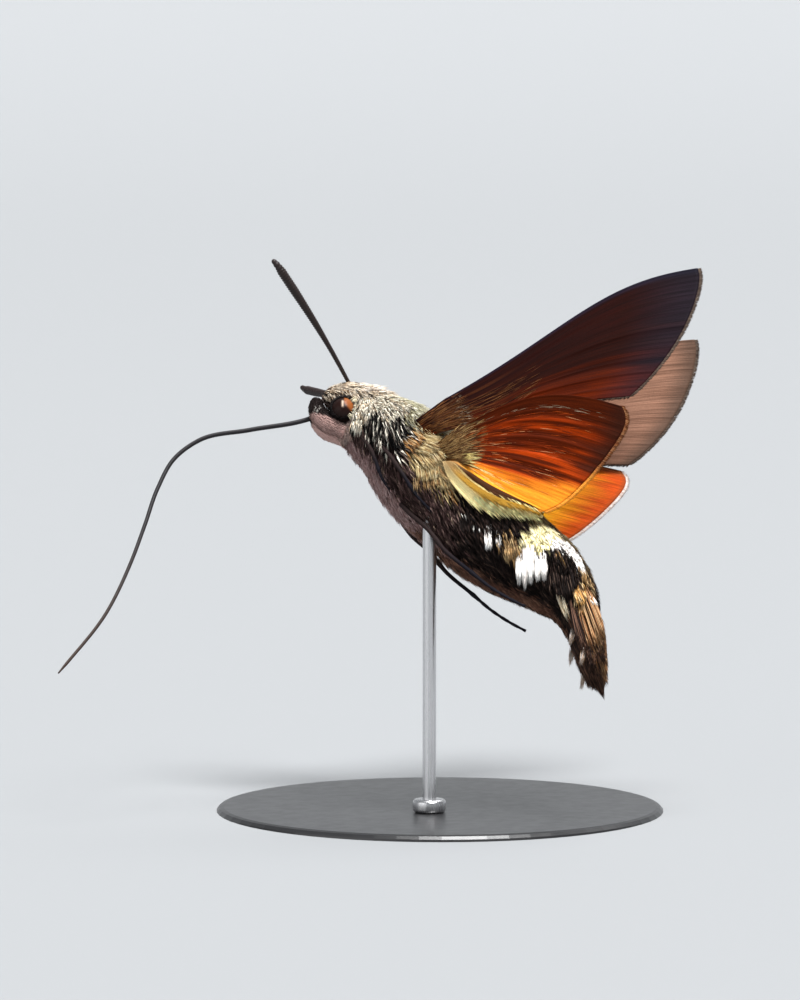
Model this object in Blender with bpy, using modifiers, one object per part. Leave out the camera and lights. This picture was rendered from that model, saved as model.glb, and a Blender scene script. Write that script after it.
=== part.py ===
"""Hummingbird hawk moth, hovering, as a still life-size model on a plain display stand.

The world is in metres, +Z up, with its origin at the middle of the base's underside.
The moth is drawn in its own frame, in millimetres: the origin is in the middle of the thorax,
+X runs to the tail, +Y to the moth's right and +Z to its back. The empty moth_pose sets that
frame on the stand, nose up and banked, and every piece of the moth is its child.
"""
import math
import random

import bmesh
import bpy
import numpy as np
from mathutils import Matrix, Vector

MM = 0.001
GAP = 0.3
LEFT = -1
RIGHT = 1
SIDE_NAMES = {LEFT: "left", RIGHT: "right"}

# Pose of the moth on the stand: where the thorax hangs, in mm, and its turns, in degrees
HOVER = (-1.67, 0.0, 26.0)
PITCH = 44.1
YAW = 2.0
BANK = 29.0

# Trunk, out to the tips of its coat: place along the body, height of the middle,
# half height and half width of each ring
TRUNK = (
    (-4.6, -0.20, 2.50, 2.2),
    (-3.6, 0.05, 2.76, 2.9),
    (-2.5, 0.22, 3.04, 3.35),
    (-0.8, 0.07, 3.47, 3.6),
    (1.5, -0.20, 3.77, 3.7),
    (4.2, -0.28, 3.68, 3.65),
    (7.0, -0.45, 3.58, 3.7),
    (9.7, -0.26, 3.25, 3.6),
    (12.6, 0.10, 2.64, 3.2),
    (14.2, 0.02, 2.15, 2.9),
    (15.5, -0.45, 1.80, 2.5),
)
THORAX_FRONT = -4.6
THORAX_REAR = 3.5
ABDOMEN_REAR = 15.5
THORAX_RINGS = 12
ABDOMEN_RINGS = 15
BODY_SIDES = 26

# Head, from its rear face to the brow
HEAD = (
    (-8.0, -0.55, 0.40, 0.45),
    (-7.6, -0.35, 0.75, 0.95),
    (-7.0, -0.05, 1.15, 1.40),
    (-6.0, 0.05, 1.65, 1.75),
    (-4.9, -0.10, 2.30, 1.90),
)
HEAD_REAR = THORAX_FRONT - GAP
HEAD_RINGS = 10

EYE_CENTRE = (-5.85, 1.2, -0.85)
EYE_RADIUS = 1.0
EYE_SEGMENTS = 18
EYE_RINGS = 10

# Palps, curled up before the face: place, height and half thickness along the middle line
PALP = (
    (-5.4, -1.95, 0.50),
    (-6.2, -2.15, 0.64),
    (-7.0, -2.05, 0.65),
    (-7.5, -1.70, 0.56),
    (-7.64, -1.40, 0.36),
)
PALP_SIDE = 0.85
PALP_FLATNESS = 1.1
PALP_RINGS = 11
PALP_SIDES = 12

ANTENNA_ROOT = (-7.3, 0.85, 1.0)
ANTENNA_REACH = {LEFT: (-6.25, 8.5, 0.2), RIGHT: (-5.6, 8.7, 0.8)}
ANTENNA_BOW = 0.5
ANTENNA_POINTS = 16
ANTENNA_RADII = ((0.0, 0.25), (0.35, 0.25), (0.8, 0.36), (0.93, 0.33), (1.0, 0.12))

# Proboscis in the moth's middle plane: place and height along its length
PROBOSCIS = (
    (-6.95, -1.62),
    (-7.50, -2.76),
    (-9.72, -5.86),
    (-11.64, -8.68),
    (-11.91, -10.76),
    (-11.17, -13.10),
    (-9.87, -15.60),
    (-8.52, -18.33),
    (-7.14, -21.99),
    (-6.52, -26.01),
    (-6.40, -27.00),
)
PROBOSCIS_RADIUS = 0.25
PROBOSCIS_CUTS = (0.36, 0.68)
PROBOSCIS_POINTS = 46

# The tongue's first points, which pass between the palps in a channel
CHANNEL_POINTS = 9

# Wings: feet of the front and rear edges on the trunk (place, degrees from the back), the tip and
# the rear corner, how far the front, outer and rear margins bow out, how late the front one does (a
# power over 1 bows it nearer the tip), how much of the length the rounded tip and corner lose, the
# depth of the hollow between the edges, and the veins (share of the way from the front edge to the
# rear one, where each begins)
WING_LIFT = 0.55
WING_THICKNESS = 0.5
WING_ROOT_THICKNESS = 0.7
WING_ROOT_SHARE = 0.2
ROUNDING_POWER = 6
VEIN_HEIGHT = 0.13
VEIN_SPREAD = 0.02
VEIN_RISE = 0.15
VEIN_FADE = 0.5
FOREWING = dict(
    front=(-0.9, 66.0),
    rear=(0.8, 64.0),
    tip=(5.97, 5.28, 21.78),
    corner=(9.02, 5.28, 11.60),
    bows=(1.35, 0.9, -0.35),
    lead_skew=2.0,
    rounding=0.02,
    hollow=0.35,
    veins=(
        (0.09, 0.0), (0.20, 0.0), (0.32, 0.35), (0.44, 0.5),
        (0.56, 0.5), (0.68, 0.45), (0.80, 0.3), (0.92, 0.0),
    ),
    stations=11,
)
HINDWING = dict(
    front=(1.4, 76.0),
    rear=(3.0, 78.0),
    tip=(10.1, 5.9, 10.7),
    corner=(10.35, 3.35, 2.3),
    bows=(1.9, 0.55, 0.3),
    lead_skew=1.1,
    rounding=0.07,
    hollow=-0.35,
    veins=((0.14, 0.0), (0.32, 0.25), (0.48, 0.4), (0.64, 0.4), (0.80, 0.3), (0.93, 0.0)),
    stations=8,
)

# Legs: place along the body, degrees from the belly's middle, and height over the trunk
LEG_RADIUS = 0.25
LEG_POINTS_PER_ROW = 3
FORELEG = ((-3.2, 42.0, -0.1), (-2.2, 42.0, 0.15), (-1.2, 38.0, 0.2), (-0.2, 28.0, 0.1), (0.9, 20.0, 0.05))
MIDLEG = ((-1.5, 56.0, -0.1), (-0.4, 59.0, 0.2), (1.0, 58.0, 0.25), (2.8, 50.0, 0.1), (4.3, 45.0, 0.05))
HINDLEG = (
    (2.0, 27.0, -0.1), (3.0, 29.0, 0.15), (4.6, 29.0, 0.25), (6.5, 27.0, 0.40),
    (8.8, 26.0, 0.50), (10.6, 26.0, 0.95), (12.0, 27.0, 1.35), (13.3, 29.0, 1.55),
)

# Tail fan: place and height of its middle line, half thickness and half width out to the tips
FAN = (
    (15.8, -0.60, 1.65, 2.05),
    (16.7, -1.20, 1.25, 2.30),
    (17.8, -1.92, 0.94, 2.60),
    (19.0, -2.66, 0.67, 2.45),
    (20.0, -3.28, 0.45, 1.95),
    (20.9, -3.85, 0.16, 1.10),
)
FAN_SLOPE = 32.5
FAN_LENGTH = 6.1
FAN_CORE_END = 18.3
FAN_CORE_FULLNESS = 0.72
FAN_CORE_THINNING = 0.5
FAN_CORE_RINGS = 7
FAN_CORE_SIDES = 16

# Tiers of locks in the fan: where the roots sit, how high between the core's faces (-1 to 1),
# how many lie side by side, and how far along the fan the middle one's tip reaches
FAN_TIERS = (
    (16.25, 0.80, 4, 0.52),
    (16.6, 0.55, 5, 0.78),
    (16.9, 0.18, 6, 1.02),
    (16.9, -0.22, 5, 0.97),
    (16.6, -0.58, 5, 0.74),
    (16.25, -0.80, 4, 0.50),
)
FAN_LOCK_WIDTH = 1.25
FAN_LOCK_BEND = 0.12

# Roots and tips of a tier: how far they spread over the fan's width, how deep the roots sink,
# how much shorter the outer locks are, and how near the fan's faces the tips come
FAN_ROOT_SPREAD = 0.60
FAN_TIP_SPREAD = 0.93
FAN_ROOT_DEPTH = 0.62
FAN_ROUNDING = 0.55
FAN_SHORTENING = 0.30
FAN_TIP_LEVEL = 0.75
LOCK_THICKNESS = 0.5

# Tufts on the abdomen's sides: place, degrees from the back, length and number of locks
TUFTS = (
    (6.4, 101.0, 1.9, 2),
    (8.3, 102.0, 1.9, 2),
    (10.2, 98.0, 3.1, 3),
    (12.2, 99.0, 2.7, 3),
    (13.6, 102.0, 2.0, 3),
)
TUFT_LOCK_WIDTH = 0.85
TUFT_STEP = 9.0
TUFT_SINK = 0.55
TUFT_BEND = -0.15

# Lie of a tuft's locks, as slopes against the body's length, and how far each root is set back
TUFT_DOWN = 0.42
TUFT_SPREAD = 0.08
TUFT_OUT = 0.16
TUFT_STAGGER = 0.12

# A lock's shape from root to tip: place, share of its width and share of its thickness
LOCK_STATIONS = ((0.0, 0.75, 1.0), (0.3, 1.0, 1.0), (0.62, 0.82, 0.8), (0.86, 0.48, 0.55), (1.0, 0.13, 0.25))
SEED = 7

# Display stand
BASE_RADIUS = 15.0
BASE_HEIGHT = 3.0
BASE_BEVEL = 0.5
ROD_RADIUS = 0.45
ROD_TOP = (5.5, -0.3, -4.3)
ROD_SPARE = 2.0
BASE_SIDES = 64
ROD_SIDES = 20

SMOOTH_ANGLE = math.radians(40)
WELD = 1e-6

scene = bpy.context.scene
for old_item in list(bpy.data.objects):
    bpy.data.objects.remove(old_item, do_unlink=True)


def collection(name):
    group = bpy.data.collections.new(name)
    scene.collection.children.link(group)
    return group


PARTS = collection("hummingbird_hawk_moth")
CUTTERS = collection("cutters")
LOCKS = collection("locks")


def finish(name, colour, roughness, metallic=0.0):
    material = bpy.data.materials.new(name)
    material.use_nodes = True
    shader = material.node_tree.nodes["Principled BSDF"]
    shader.inputs["Base Color"].default_value = (*colour, 1.0)
    shader.inputs["Roughness"].default_value = roughness
    shader.inputs["Metallic"].default_value = metallic
    return material


COAT_OLIVE = finish("olive_coat", (0.25, 0.20, 0.12), 0.9)
COAT_DARK = finish("dark_coat", (0.03, 0.02, 0.015), 0.9)
COAT_PALE = finish("pale_coat", (0.42, 0.33, 0.28), 0.9)
EYE_GLOSS = finish("eye_gloss", (0.05, 0.02, 0.01), 0.2)
HORN = finish("dark_horn", (0.02, 0.015, 0.015), 0.5)
WING_BROWN = finish("brown_wing", (0.12, 0.05, 0.02), 0.7)
WING_ORANGE = finish("orange_wing", (0.6, 0.2, 0.03), 0.7)
BASE_BLACK = finish("black_base", (0.02, 0.02, 0.02), 0.3)
STEEL = finish("steel_rod", (0.5, 0.5, 0.5), 0.3, 1.0)

pose = bpy.data.objects.new("moth_pose", None)
PARTS.objects.link(pose)
pose.matrix_world = (
    Matrix.Translation(Vector(HOVER) * MM)
    @ Matrix.Rotation(math.radians(-BANK), 4, "X")
    @ Matrix.Rotation(math.radians(-YAW), 4, "Z")
    @ Matrix.Rotation(math.radians(PITCH), 4, "Y")
)
bpy.context.view_layer.update()


def table(rows, x):
    """Smooth values of a table of rows at x, with a curve through every row."""
    places = [row[0] for row in rows]
    values = np.array([row[1:] for row in rows])
    slopes = np.gradient(values, places, axis=0)
    i = int(np.clip(np.searchsorted(places, x) - 1, 0, len(rows) - 2))
    step = places[i + 1] - places[i]
    t = (x - places[i]) / step
    return (
        (2 * t**3 - 3 * t**2 + 1) * values[i]
        + (t**3 - 2 * t**2 + t) * step * slopes[i]
        + (3 * t**2 - 2 * t**3) * values[i + 1]
        + (t**3 - t**2) * step * slopes[i + 1]
    )


def spline(points, count):
    """Evenly spread points on a smooth curve through the given ones, by chord length."""
    points = np.array(points, float)
    lengths = np.linalg.norm(np.diff(points, axis=0), axis=1)
    places = np.concatenate(([0.0], np.cumsum(lengths)))
    rows = [(place, *point) for place, point in zip(places, points)]
    return [Vector(table(rows, x)) for x in np.linspace(0.0, places[-1], count)]


def mirrored(point, side):
    return Vector((point[0], side * point[1], point[2]))


def on_trunk(x, degrees, lift=0.0):
    """A point over the trunk's right side, by degrees from the middle of the back."""
    middle, height, width = table(TRUNK, x)
    turn = math.radians(degrees)
    point = Vector((0.0, width * math.sin(turn), height * math.cos(turn)))
    out = Vector((0.0, point.y / width**2, point.z / height**2)).normalized()
    return Vector((x, 0.0, middle)) + point + lift * out


def add_mesh(name, bm, material, group=PARTS):
    """A new object from a bmesh in mm, in the moth's frame."""
    bmesh.ops.recalc_face_normals(bm, faces=bm.faces)
    bmesh.ops.scale(bm, vec=(MM, MM, MM), verts=bm.verts)
    mesh = bpy.data.meshes.new(name)
    bm.to_mesh(mesh)
    bm.free()
    item = bpy.data.objects.new(name, mesh)
    group.objects.link(item)
    item.parent = pose
    if material:
        mesh.materials.append(material)
    mesh.shade_smooth()
    mesh.set_sharp_from_angle(angle=SMOOTH_ANGLE)
    if group is CUTTERS:
        item.hide_render = True
        item.display_type = "WIRE"
    return item


def loft(name, rings, material, group=PARTS):
    """A closed solid through rings of like points, with flat ends."""
    bm = bmesh.new()
    rows = [[bm.verts.new(point) for point in ring] for ring in rings]
    count = len(rows[0])
    for one, two in zip(rows, rows[1:]):
        for i in range(count):
            j = (i + 1) % count
            bm.faces.new((one[i], one[j], two[j], two[i]))
    bm.faces.new(rows[0])
    bm.faces.new(rows[-1])
    return add_mesh(name, bm, material, group)


def body_rings(rows, places, grow=0.0):
    """Upright oval rings at places along the body, from a table of middles and half sizes."""
    rings = []
    for x in places:
        middle, height, width = table(rows, x)
        ring = []
        for i in range(BODY_SIDES):
            turn = math.tau * (i + 0.5) / BODY_SIDES
            sideways = (width + grow) * math.sin(turn)
            upwards = (height + grow) * math.cos(turn)
            ring.append(Vector((x, sideways, middle + upwards)))
        rings.append(ring)
    return rings


def tube(name, points, radii, material, group=PARTS):
    """A closed round tube as a mesh, from a bevelled curve with filled caps."""
    curve = bpy.data.curves.new(name, "CURVE")
    curve.dimensions = "3D"
    curve.bevel_depth = MM
    curve.bevel_resolution = 2
    curve.use_fill_caps = True
    line = curve.splines.new("POLY")
    line.points.add(len(points) - 1)
    for knot, point, radius in zip(line.points, points, radii):
        knot.co = (*(Vector(point) * MM), 1.0)
        knot.radius = radius
    item = bpy.data.objects.new(name, curve)
    scene.collection.objects.link(item)
    bpy.context.view_layer.update()
    seen = item.evaluated_get(bpy.context.evaluated_depsgraph_get())
    mesh = bpy.data.meshes.new_from_object(seen)
    bm = bmesh.new()
    bm.from_mesh(mesh)
    bmesh.ops.remove_doubles(bm, verts=bm.verts, dist=WELD)
    bmesh.ops.scale(bm, vec=(1 / MM, 1 / MM, 1 / MM), verts=bm.verts)
    bpy.data.objects.remove(item)
    bpy.data.meshes.remove(mesh)
    return add_mesh(name, bm, material, group)


def keep_largest(item):
    """Keeps only the largest closed surface of a mesh."""
    bm = bmesh.new()
    bm.from_mesh(item.data)
    left = set(bm.verts)
    shells = []
    while left:
        shell = {left.pop()}
        edge = list(shell)
        while edge:
            vert = edge.pop()
            for link in vert.link_edges:
                other = link.other_vert(vert)
                if other in left:
                    left.remove(other)
                    shell.add(other)
                    edge.append(other)
        shells.append(shell)

    def reach(shell):
        size = np.ptp(np.array([vert.co for vert in shell]), axis=0)
        return float(np.prod(size))

    best = max(shells, key=reach)
    bmesh.ops.delete(bm, geom=[vert for vert in bm.verts if vert not in best], context="VERTS")
    bm.to_mesh(item.data)
    bm.free()


def apply_boolean(item, operation, cutter=None, group=None, solver="EXACT"):
    """Joins or cuts a piece at once, by one object or by a whole collection."""
    step = item.modifiers.new(operation.lower(), "BOOLEAN")
    step.operation = operation
    step.solver = solver
    if group:
        step.operand_type = "COLLECTION"
        step.collection = group
    else:
        step.object = cutter
    bpy.context.view_layer.update()
    seen = item.evaluated_get(bpy.context.evaluated_depsgraph_get())
    mesh = bpy.data.meshes.new_from_object(seen)
    item.modifiers.clear()
    old = item.data
    item.data = mesh
    mesh.name = item.name
    bpy.data.meshes.remove(old)
    keep_largest(item)


def lock(root, along, face, length, width, bend=0.0):
    """A flat tapered lock with a four-sided section, which bends towards its face's side."""
    along = along.normalized()
    across = along.cross(face).normalized()
    face = across.cross(along)
    rings = []
    for t, wide, thick in LOCK_STATIONS:
        middle = root + along * length * t + face * bend * t**2
        side = across * wide * width / 2
        top = face * thick * LOCK_THICKNESS / 2
        rings.append([middle + side, middle + top, middle - side, middle - top])
    return loft("lock", rings, None, LOCKS)


def join_locks(item):
    """Fuses every lock made so far with the piece that they grow from."""
    apply_boolean(item, "UNION", group=LOCKS)
    for used in list(LOCKS.objects):
        bpy.data.objects.remove(used, do_unlink=True)


def make_tufts(side, draw):
    """Rows of flat locks on one side of the abdomen, which trail back and down."""
    for x, degrees, length, count in TUFTS:
        for i in range(count):
            spread = i - (count - 1) / 2
            turn = degrees + TUFT_STEP * spread
            root = on_trunk(x + TUFT_STAGGER * spread, turn, -TUFT_SINK)
            out = (on_trunk(x, turn, 1.0) - on_trunk(x, turn)).normalized()
            down = Vector((0.0, out.z, -out.y))
            along = Vector((1.0, 0.0, 0.0)) + down * (TUFT_DOWN + TUFT_SPREAD * spread) + out * TUFT_OUT
            reach = (length + TUFT_SINK) * draw.uniform(0.9, 1.05)
            frame = [mirrored(vector, side) for vector in (root, along, out)]
            lock(*frame, reach, TUFT_LOCK_WIDTH, TUFT_BEND)


def make_trunk():
    """Thorax and abdomen, with the tufts joined on and a groove for each leg."""
    thorax_places = np.linspace(THORAX_FRONT, THORAX_REAR, THORAX_RINGS)
    abdomen_places = np.linspace(THORAX_REAR + GAP, ABDOMEN_REAR, ABDOMEN_RINGS)
    thorax = loft("thorax", body_rings(TRUNK, thorax_places), COAT_OLIVE)
    abdomen = loft("abdomen", body_rings(TRUNK, abdomen_places), COAT_DARK)
    draw = random.Random(SEED)
    for side in (LEFT, RIGHT):
        make_tufts(side, draw)
    join_locks(abdomen)
    for side in (LEFT, RIGHT):
        make_leg("foreleg", FORELEG, side)
        make_leg("midleg", MIDLEG, side)
        make_leg("hindleg", HINDLEG, side)
    for groove in list(CUTTERS.objects):
        for body in (thorax, abdomen):
            apply_boolean(body, "DIFFERENCE", groove)


def eye(side, grow=0.0, group=PARTS):
    """An eyeball, or the cutter of its socket when it is grown."""
    name = f"eye_{SIDE_NAMES[side]}" if group is PARTS else f"socket_{SIDE_NAMES[side]}"
    bm = bmesh.new()
    bmesh.ops.create_uvsphere(
        bm,
        u_segments=EYE_SEGMENTS,
        v_segments=EYE_RINGS,
        radius=EYE_RADIUS + grow,
        matrix=Matrix.Translation(mirrored(EYE_CENTRE, side)),
    )
    return add_mesh(name, bm, EYE_GLOSS, group)


def head_rings(grow=0.0):
    return body_rings(HEAD, np.linspace(HEAD[0][0], HEAD_REAR, HEAD_RINGS), grow)


def proboscis_line():
    return spline([(x, 0.0, z) for x, z in PROBOSCIS], PROBOSCIS_POINTS)


def make_head():
    """The head with its eyes in sockets, and the palps, cut clear of the head, eyes and tongue."""
    head = loft("head", head_rings(), COAT_OLIVE)
    line = proboscis_line()[:CHANNEL_POINTS]
    channel = tube("proboscis_channel", line, [PROBOSCIS_RADIUS + GAP] * len(line), None, CUTTERS)
    grown_head = loft("grown_head", head_rings(GAP), None, CUTTERS)
    for side in (LEFT, RIGHT):
        eye(side)
        socket = eye(side, GAP, CUTTERS)
        apply_boolean(head, "DIFFERENCE", socket)
        palp = make_palp(side)
        for cutter in (grown_head, socket, channel):
            apply_boolean(palp, "DIFFERENCE", cutter)


def make_palp(side):
    """One palp, a flattened tube that curls up before the face."""
    middle = spline([(x, 0.0, z) for x, z, _ in PALP], PALP_RINGS)
    thickness = spline([(i, 0.0, row[2]) for i, row in enumerate(PALP)], PALP_RINGS)
    across = Vector((0.0, 1.0, 0.0))
    turns = [math.tau * k / PALP_SIDES for k in range(PALP_SIDES)]
    rings = []
    for i, point in enumerate(middle):
        before = middle[max(i - 1, 0)]
        after = middle[min(i + 1, PALP_RINGS - 1)]
        half = thickness[i].z
        up = (after - before).normalized().cross(across) * half
        wide = across * half * PALP_FLATNESS
        centre = mirrored((point.x, PALP_SIDE, point.z), side)
        rings.append([centre + wide * math.cos(a) + up * math.sin(a) for a in turns])
    return loft(f"palp_{SIDE_NAMES[side]}", rings, COAT_PALE)


def make_antenna(side):
    """A feeler that bows back a little and thickens to a club before its tip."""
    places = np.linspace(0.0, 1.0, ANTENNA_POINTS)
    reach = mirrored(ANTENNA_REACH[side], side)
    root = mirrored(ANTENNA_ROOT, side)
    bow = Vector((ANTENNA_BOW, 0.0, 0.0))
    points = [root + reach * t + bow * math.sin(math.pi * t) for t in places]
    radii = [float(np.interp(t, *zip(*ANTENNA_RADII))) for t in places]
    tube(f"antenna_{SIDE_NAMES[side]}", points, radii, HORN)


def make_proboscis():
    """The long tongue, in three lengths with thin cuts between them."""
    line = proboscis_line()
    places = np.linspace(0.0, 1.0, len(line))
    length = sum((b - a).length for a, b in zip(line, line[1:]))
    half_cut = GAP / 2 / length
    bounds = [0.0]
    for cut in PROBOSCIS_CUTS:
        bounds += [cut - half_cut, cut + half_cut]
    bounds.append(1.0)
    coords = np.array(line)
    for k, name in enumerate(("root", "knee", "tip")):
        start_at = bounds[2 * k]
        end_at = bounds[2 * k + 1]
        inner = [t for t in places if start_at + half_cut < t < end_at - half_cut]
        stops = [start_at, *inner, end_at]
        points = [Vector([float(np.interp(t, places, coords[:, i])) for i in range(3)]) for t in stops]
        tube(f"proboscis_{name}", points, [PROBOSCIS_RADIUS] * len(points), HORN)


def wing_rays(veins):
    """Places of the rays across a wing: each vein's crest, its two feet and the web between."""
    rays = {0.0: None, 1.0: None}
    crests = [vein[0] for vein in veins]
    for crest, begins in veins:
        rays[crest - VEIN_SPREAD] = None
        rays[crest] = begins
        rays[crest + VEIN_SPREAD] = None
    for one, two in zip(crests, crests[1:]):
        rays[(one + two) / 2] = None
    return sorted(rays.items())


def wing_surface(shape):
    """A function that gives a point of the right wing's middle surface, and its normal."""
    front = on_trunk(*shape["front"], WING_LIFT)
    rear = on_trunk(*shape["rear"], WING_LIFT)
    tip = Vector(shape["tip"])
    corner = Vector(shape["corner"])
    normal = (tip - front).cross(corner - front).normalized()
    if normal.y < 0.0:
        normal = -normal
    lead_bow, end_bow, rear_bow = shape["bows"]
    lead_skew = shape["lead_skew"]

    def outward(one, two, inside):
        """A unit vector in the wing's plane, square to an edge and away from a point inside."""
        side = (two - one).cross(normal).normalized()
        return side if side.dot(one - inside) > 0.0 else -side

    lead_out = outward(front, tip, corner)
    end_out = outward(tip, corner, front)
    rear_out = outward(rear, corner, tip)

    def lead_edge(s):
        return front.lerp(tip, s) + lead_out * lead_bow * math.sin(math.pi * s**lead_skew)

    def rear_edge(s):
        return rear.lerp(corner, s) + rear_out * rear_bow * math.sin(math.pi * s)

    def end_edge(t):
        return tip.lerp(corner, t) + end_out * end_bow * math.sin(math.pi * t)

    def point(t, s):
        s = s * (1.0 - shape["rounding"] * abs(2.0 * t - 1.0) ** ROUNDING_POWER)
        across = lead_edge(s).lerp(rear_edge(s), t)
        along = front.lerp(rear, t).lerp(end_edge(t), s)
        straight = front.lerp(tip, s).lerp(rear.lerp(corner, s), t)
        hollow = shape["hollow"] * math.sin(math.pi * t) * math.sin(math.pi * min(s, 0.5))
        return across + along - straight + normal * hollow

    return point, normal


def make_wing(name, shape, side, material):
    """A thin wing whose veins stand up from both faces, which are split into triangles alike."""
    point, normal = wing_surface(shape)
    rays = wing_rays(shape["veins"])
    stations = np.linspace(0.0, 1.0, shape["stations"])
    bm = bmesh.new()
    faces = {1: [], -1: []}
    for t, begins in rays:
        for face in faces:
            faces[face].append([])
        for s in stations:
            half = WING_THICKNESS / 2
            half += (WING_ROOT_THICKNESS - WING_THICKNESS) / 2 * max(0.0, 1.0 - s / WING_ROOT_SHARE)
            if t == 0.0:
                half += VEIN_HEIGHT * (1.0 - s)
            if begins is not None:
                risen = min(1.0, max(0.0, (s - begins) / VEIN_RISE))
                half += VEIN_HEIGHT * risen * (1.0 - VEIN_FADE * s)
            for face in faces:
                place = point(t, float(s)) + normal * half * face
                faces[face][-1].append(bm.verts.new(mirrored(place, side)))
    last_ray = len(rays) - 1
    last_station = len(stations) - 1
    for i in range(last_ray):
        for j in range(last_station):
            for rows in faces.values():
                a, b, c, d = rows[i][j], rows[i + 1][j], rows[i + 1][j + 1], rows[i][j + 1]
                bm.faces.new((a, b, c))
                bm.faces.new((a, c, d))
    over, under = faces[1], faces[-1]
    rim = [(i, 0) for i in range(last_ray)]
    rim += [(last_ray, j) for j in range(last_station)]
    rim += [(i, last_station) for i in range(last_ray, 0, -1)]
    rim += [(0, j) for j in range(last_station, 0, -1)]
    for (i, j), (k, m) in zip(rim, rim[1:] + rim[:1]):
        bm.faces.new((over[i][j], over[k][m], under[k][m], under[i][j]))
    return add_mesh(f"{name}_{SIDE_NAMES[side]}", bm, material)


def make_leg(name, rows, side):
    """A folded leg that lies along the belly, half sunk in a groove of the coat."""
    points = [on_trunk(x, 180.0 - degrees, lift) for x, degrees, lift in rows]
    points = [mirrored(point, side) for point in spline(points, LEG_POINTS_PER_ROW * len(rows))]
    tube(f"{name}_{SIDE_NAMES[side]}", points, [LEG_RADIUS] * len(points), HORN)
    early = (points[0] - points[1]).normalized() * GAP
    late = (points[-1] - points[-2]).normalized() * GAP
    groove = [points[0] + early, *points, points[-1] + late]
    groove_name = f"{name}_groove_{SIDE_NAMES[side]}"
    tube(groove_name, groove, [LEG_RADIUS + GAP] * len(groove), None, CUTTERS)


def fan_frame(x):
    """The fan's middle, its upward direction and its half sizes at a place along the body."""
    middle, half, width = table(FAN, x)
    lean = math.radians(FAN_SLOPE) * min(1.0, x - FAN[0][0])
    return Vector((x, 0.0, middle)), Vector((math.sin(lean), 0.0, math.cos(lean))), half, width


def make_fan_core():
    """The fan's flat core, which draws in over its first half and thins over its second."""
    turns = [math.tau * k / FAN_CORE_SIDES for k in range(FAN_CORE_SIDES)]
    rings = []
    for late in np.linspace(0.0, 1.0, FAN_CORE_RINGS):
        centre, up, half, width = fan_frame(FAN[0][0] + (FAN_CORE_END - FAN[0][0]) * late)
        full = 1.0 + (FAN_CORE_FULLNESS - 1.0) * min(1.0, 2.0 * late)
        thin = 1.0 - FAN_CORE_THINNING * max(0.0, 2.0 * late - 1.0)
        upright = up * half * full * thin
        sideways = Vector((0.0, width * full, 0.0))
        rings.append([centre + upright * math.cos(a) + sideways * math.sin(a) for a in turns])
    return loft("tail_fan", rings, COAT_DARK)


def make_tail_fan():
    """A short core with tiers of flat locks that overlap like a bird's tail."""
    core = make_fan_core()
    draw = random.Random(SEED)
    slope = math.radians(FAN_SLOPE)
    axis = Vector((math.cos(slope), 0.0, -math.sin(slope)))
    above = Vector((math.sin(slope), 0.0, math.cos(slope)))
    fan_root = Vector((FAN[0][0], 0.0, FAN[0][1]))
    for x, level, count, reach in FAN_TIERS:
        centre, up, half, width = fan_frame(x)
        for i in range(count):
            place = 2.0 * i / (count - 1) - 1.0
            depth = FAN_ROOT_DEPTH * math.sqrt(1.0 - FAN_ROUNDING * place**2)
            root = centre + up * half * level * depth
            root.y += FAN_ROOT_SPREAD * width * place
            along_fan = FAN_LENGTH * reach * (1.0 - FAN_SHORTENING * place**2) * draw.uniform(0.96, 1.0)
            tip = fan_root + axis * along_fan
            tip += above * table(FAN, tip.x)[1] * level * FAN_TIP_LEVEL
            tip.y += FAN_TIP_SPREAD * table(FAN, tip.x)[2] * place
            run = tip - root
            lock(root, run, up, run.length, FAN_LOCK_WIDTH, FAN_LOCK_BEND * level)
    join_locks(core)


def upright_cylinder(name, sides, radius, low, high, place, material):
    """A round piece of the stand between two heights, over a place on the table."""
    bpy.ops.mesh.primitive_cylinder_add(
        vertices=sides,
        radius=radius * MM,
        depth=(high - low) * MM,
        location=(place[0] * MM, place[1] * MM, (low + high) / 2 * MM),
    )
    item = bpy.context.active_object
    item.name = name
    for group in list(item.users_collection):
        group.objects.unlink(item)
    PARTS.objects.link(item)
    item.data.materials.append(material)
    item.data.shade_smooth()
    item.data.set_sharp_from_angle(angle=SMOOTH_ANGLE)
    return item


def make_stand():
    """A round base with a soft upper edge, and a rod that ends just under the belly."""
    base = upright_cylinder("stand_base", BASE_SIDES, BASE_RADIUS, 0.0, BASE_HEIGHT, (0.0, 0.0), BASE_BLACK)
    weight = base.data.attributes.new("bevel_weight_edge", "FLOAT", "EDGE")
    for edge in base.data.edges:
        level = [base.data.vertices[i].co.z > 0.0 for i in edge.vertices]
        weight.data[edge.index].value = 1.0 if all(level) else 0.0
    bevel = base.modifiers.new("soft_top_edge", "BEVEL")
    bevel.limit_method = "WEIGHT"
    bevel.width = BASE_BEVEL * MM
    bevel.segments = 3

    top = pose.matrix_world @ (Vector(ROD_TOP) * MM) / MM
    high = top.z + ROD_SPARE
    rod = upright_cylinder("stand_rod", ROD_SIDES, ROD_RADIUS, BASE_HEIGHT + GAP, high, top, STEEL)
    places = np.linspace(THORAX_REAR, ABDOMEN_REAR, ABDOMEN_RINGS)
    belly = loft("belly_clearance", body_rings(TRUNK, places, GAP), None, CUTTERS)
    apply_boolean(rod, "DIFFERENCE", belly)


make_trunk()
make_head()
make_proboscis()
make_tail_fan()
for wing_side in (LEFT, RIGHT):
    make_antenna(wing_side)
    make_wing("forewing", FOREWING, wing_side, WING_BROWN)
    make_wing("hindwing", HINDWING, wing_side, WING_ORANGE)
make_stand()
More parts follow.
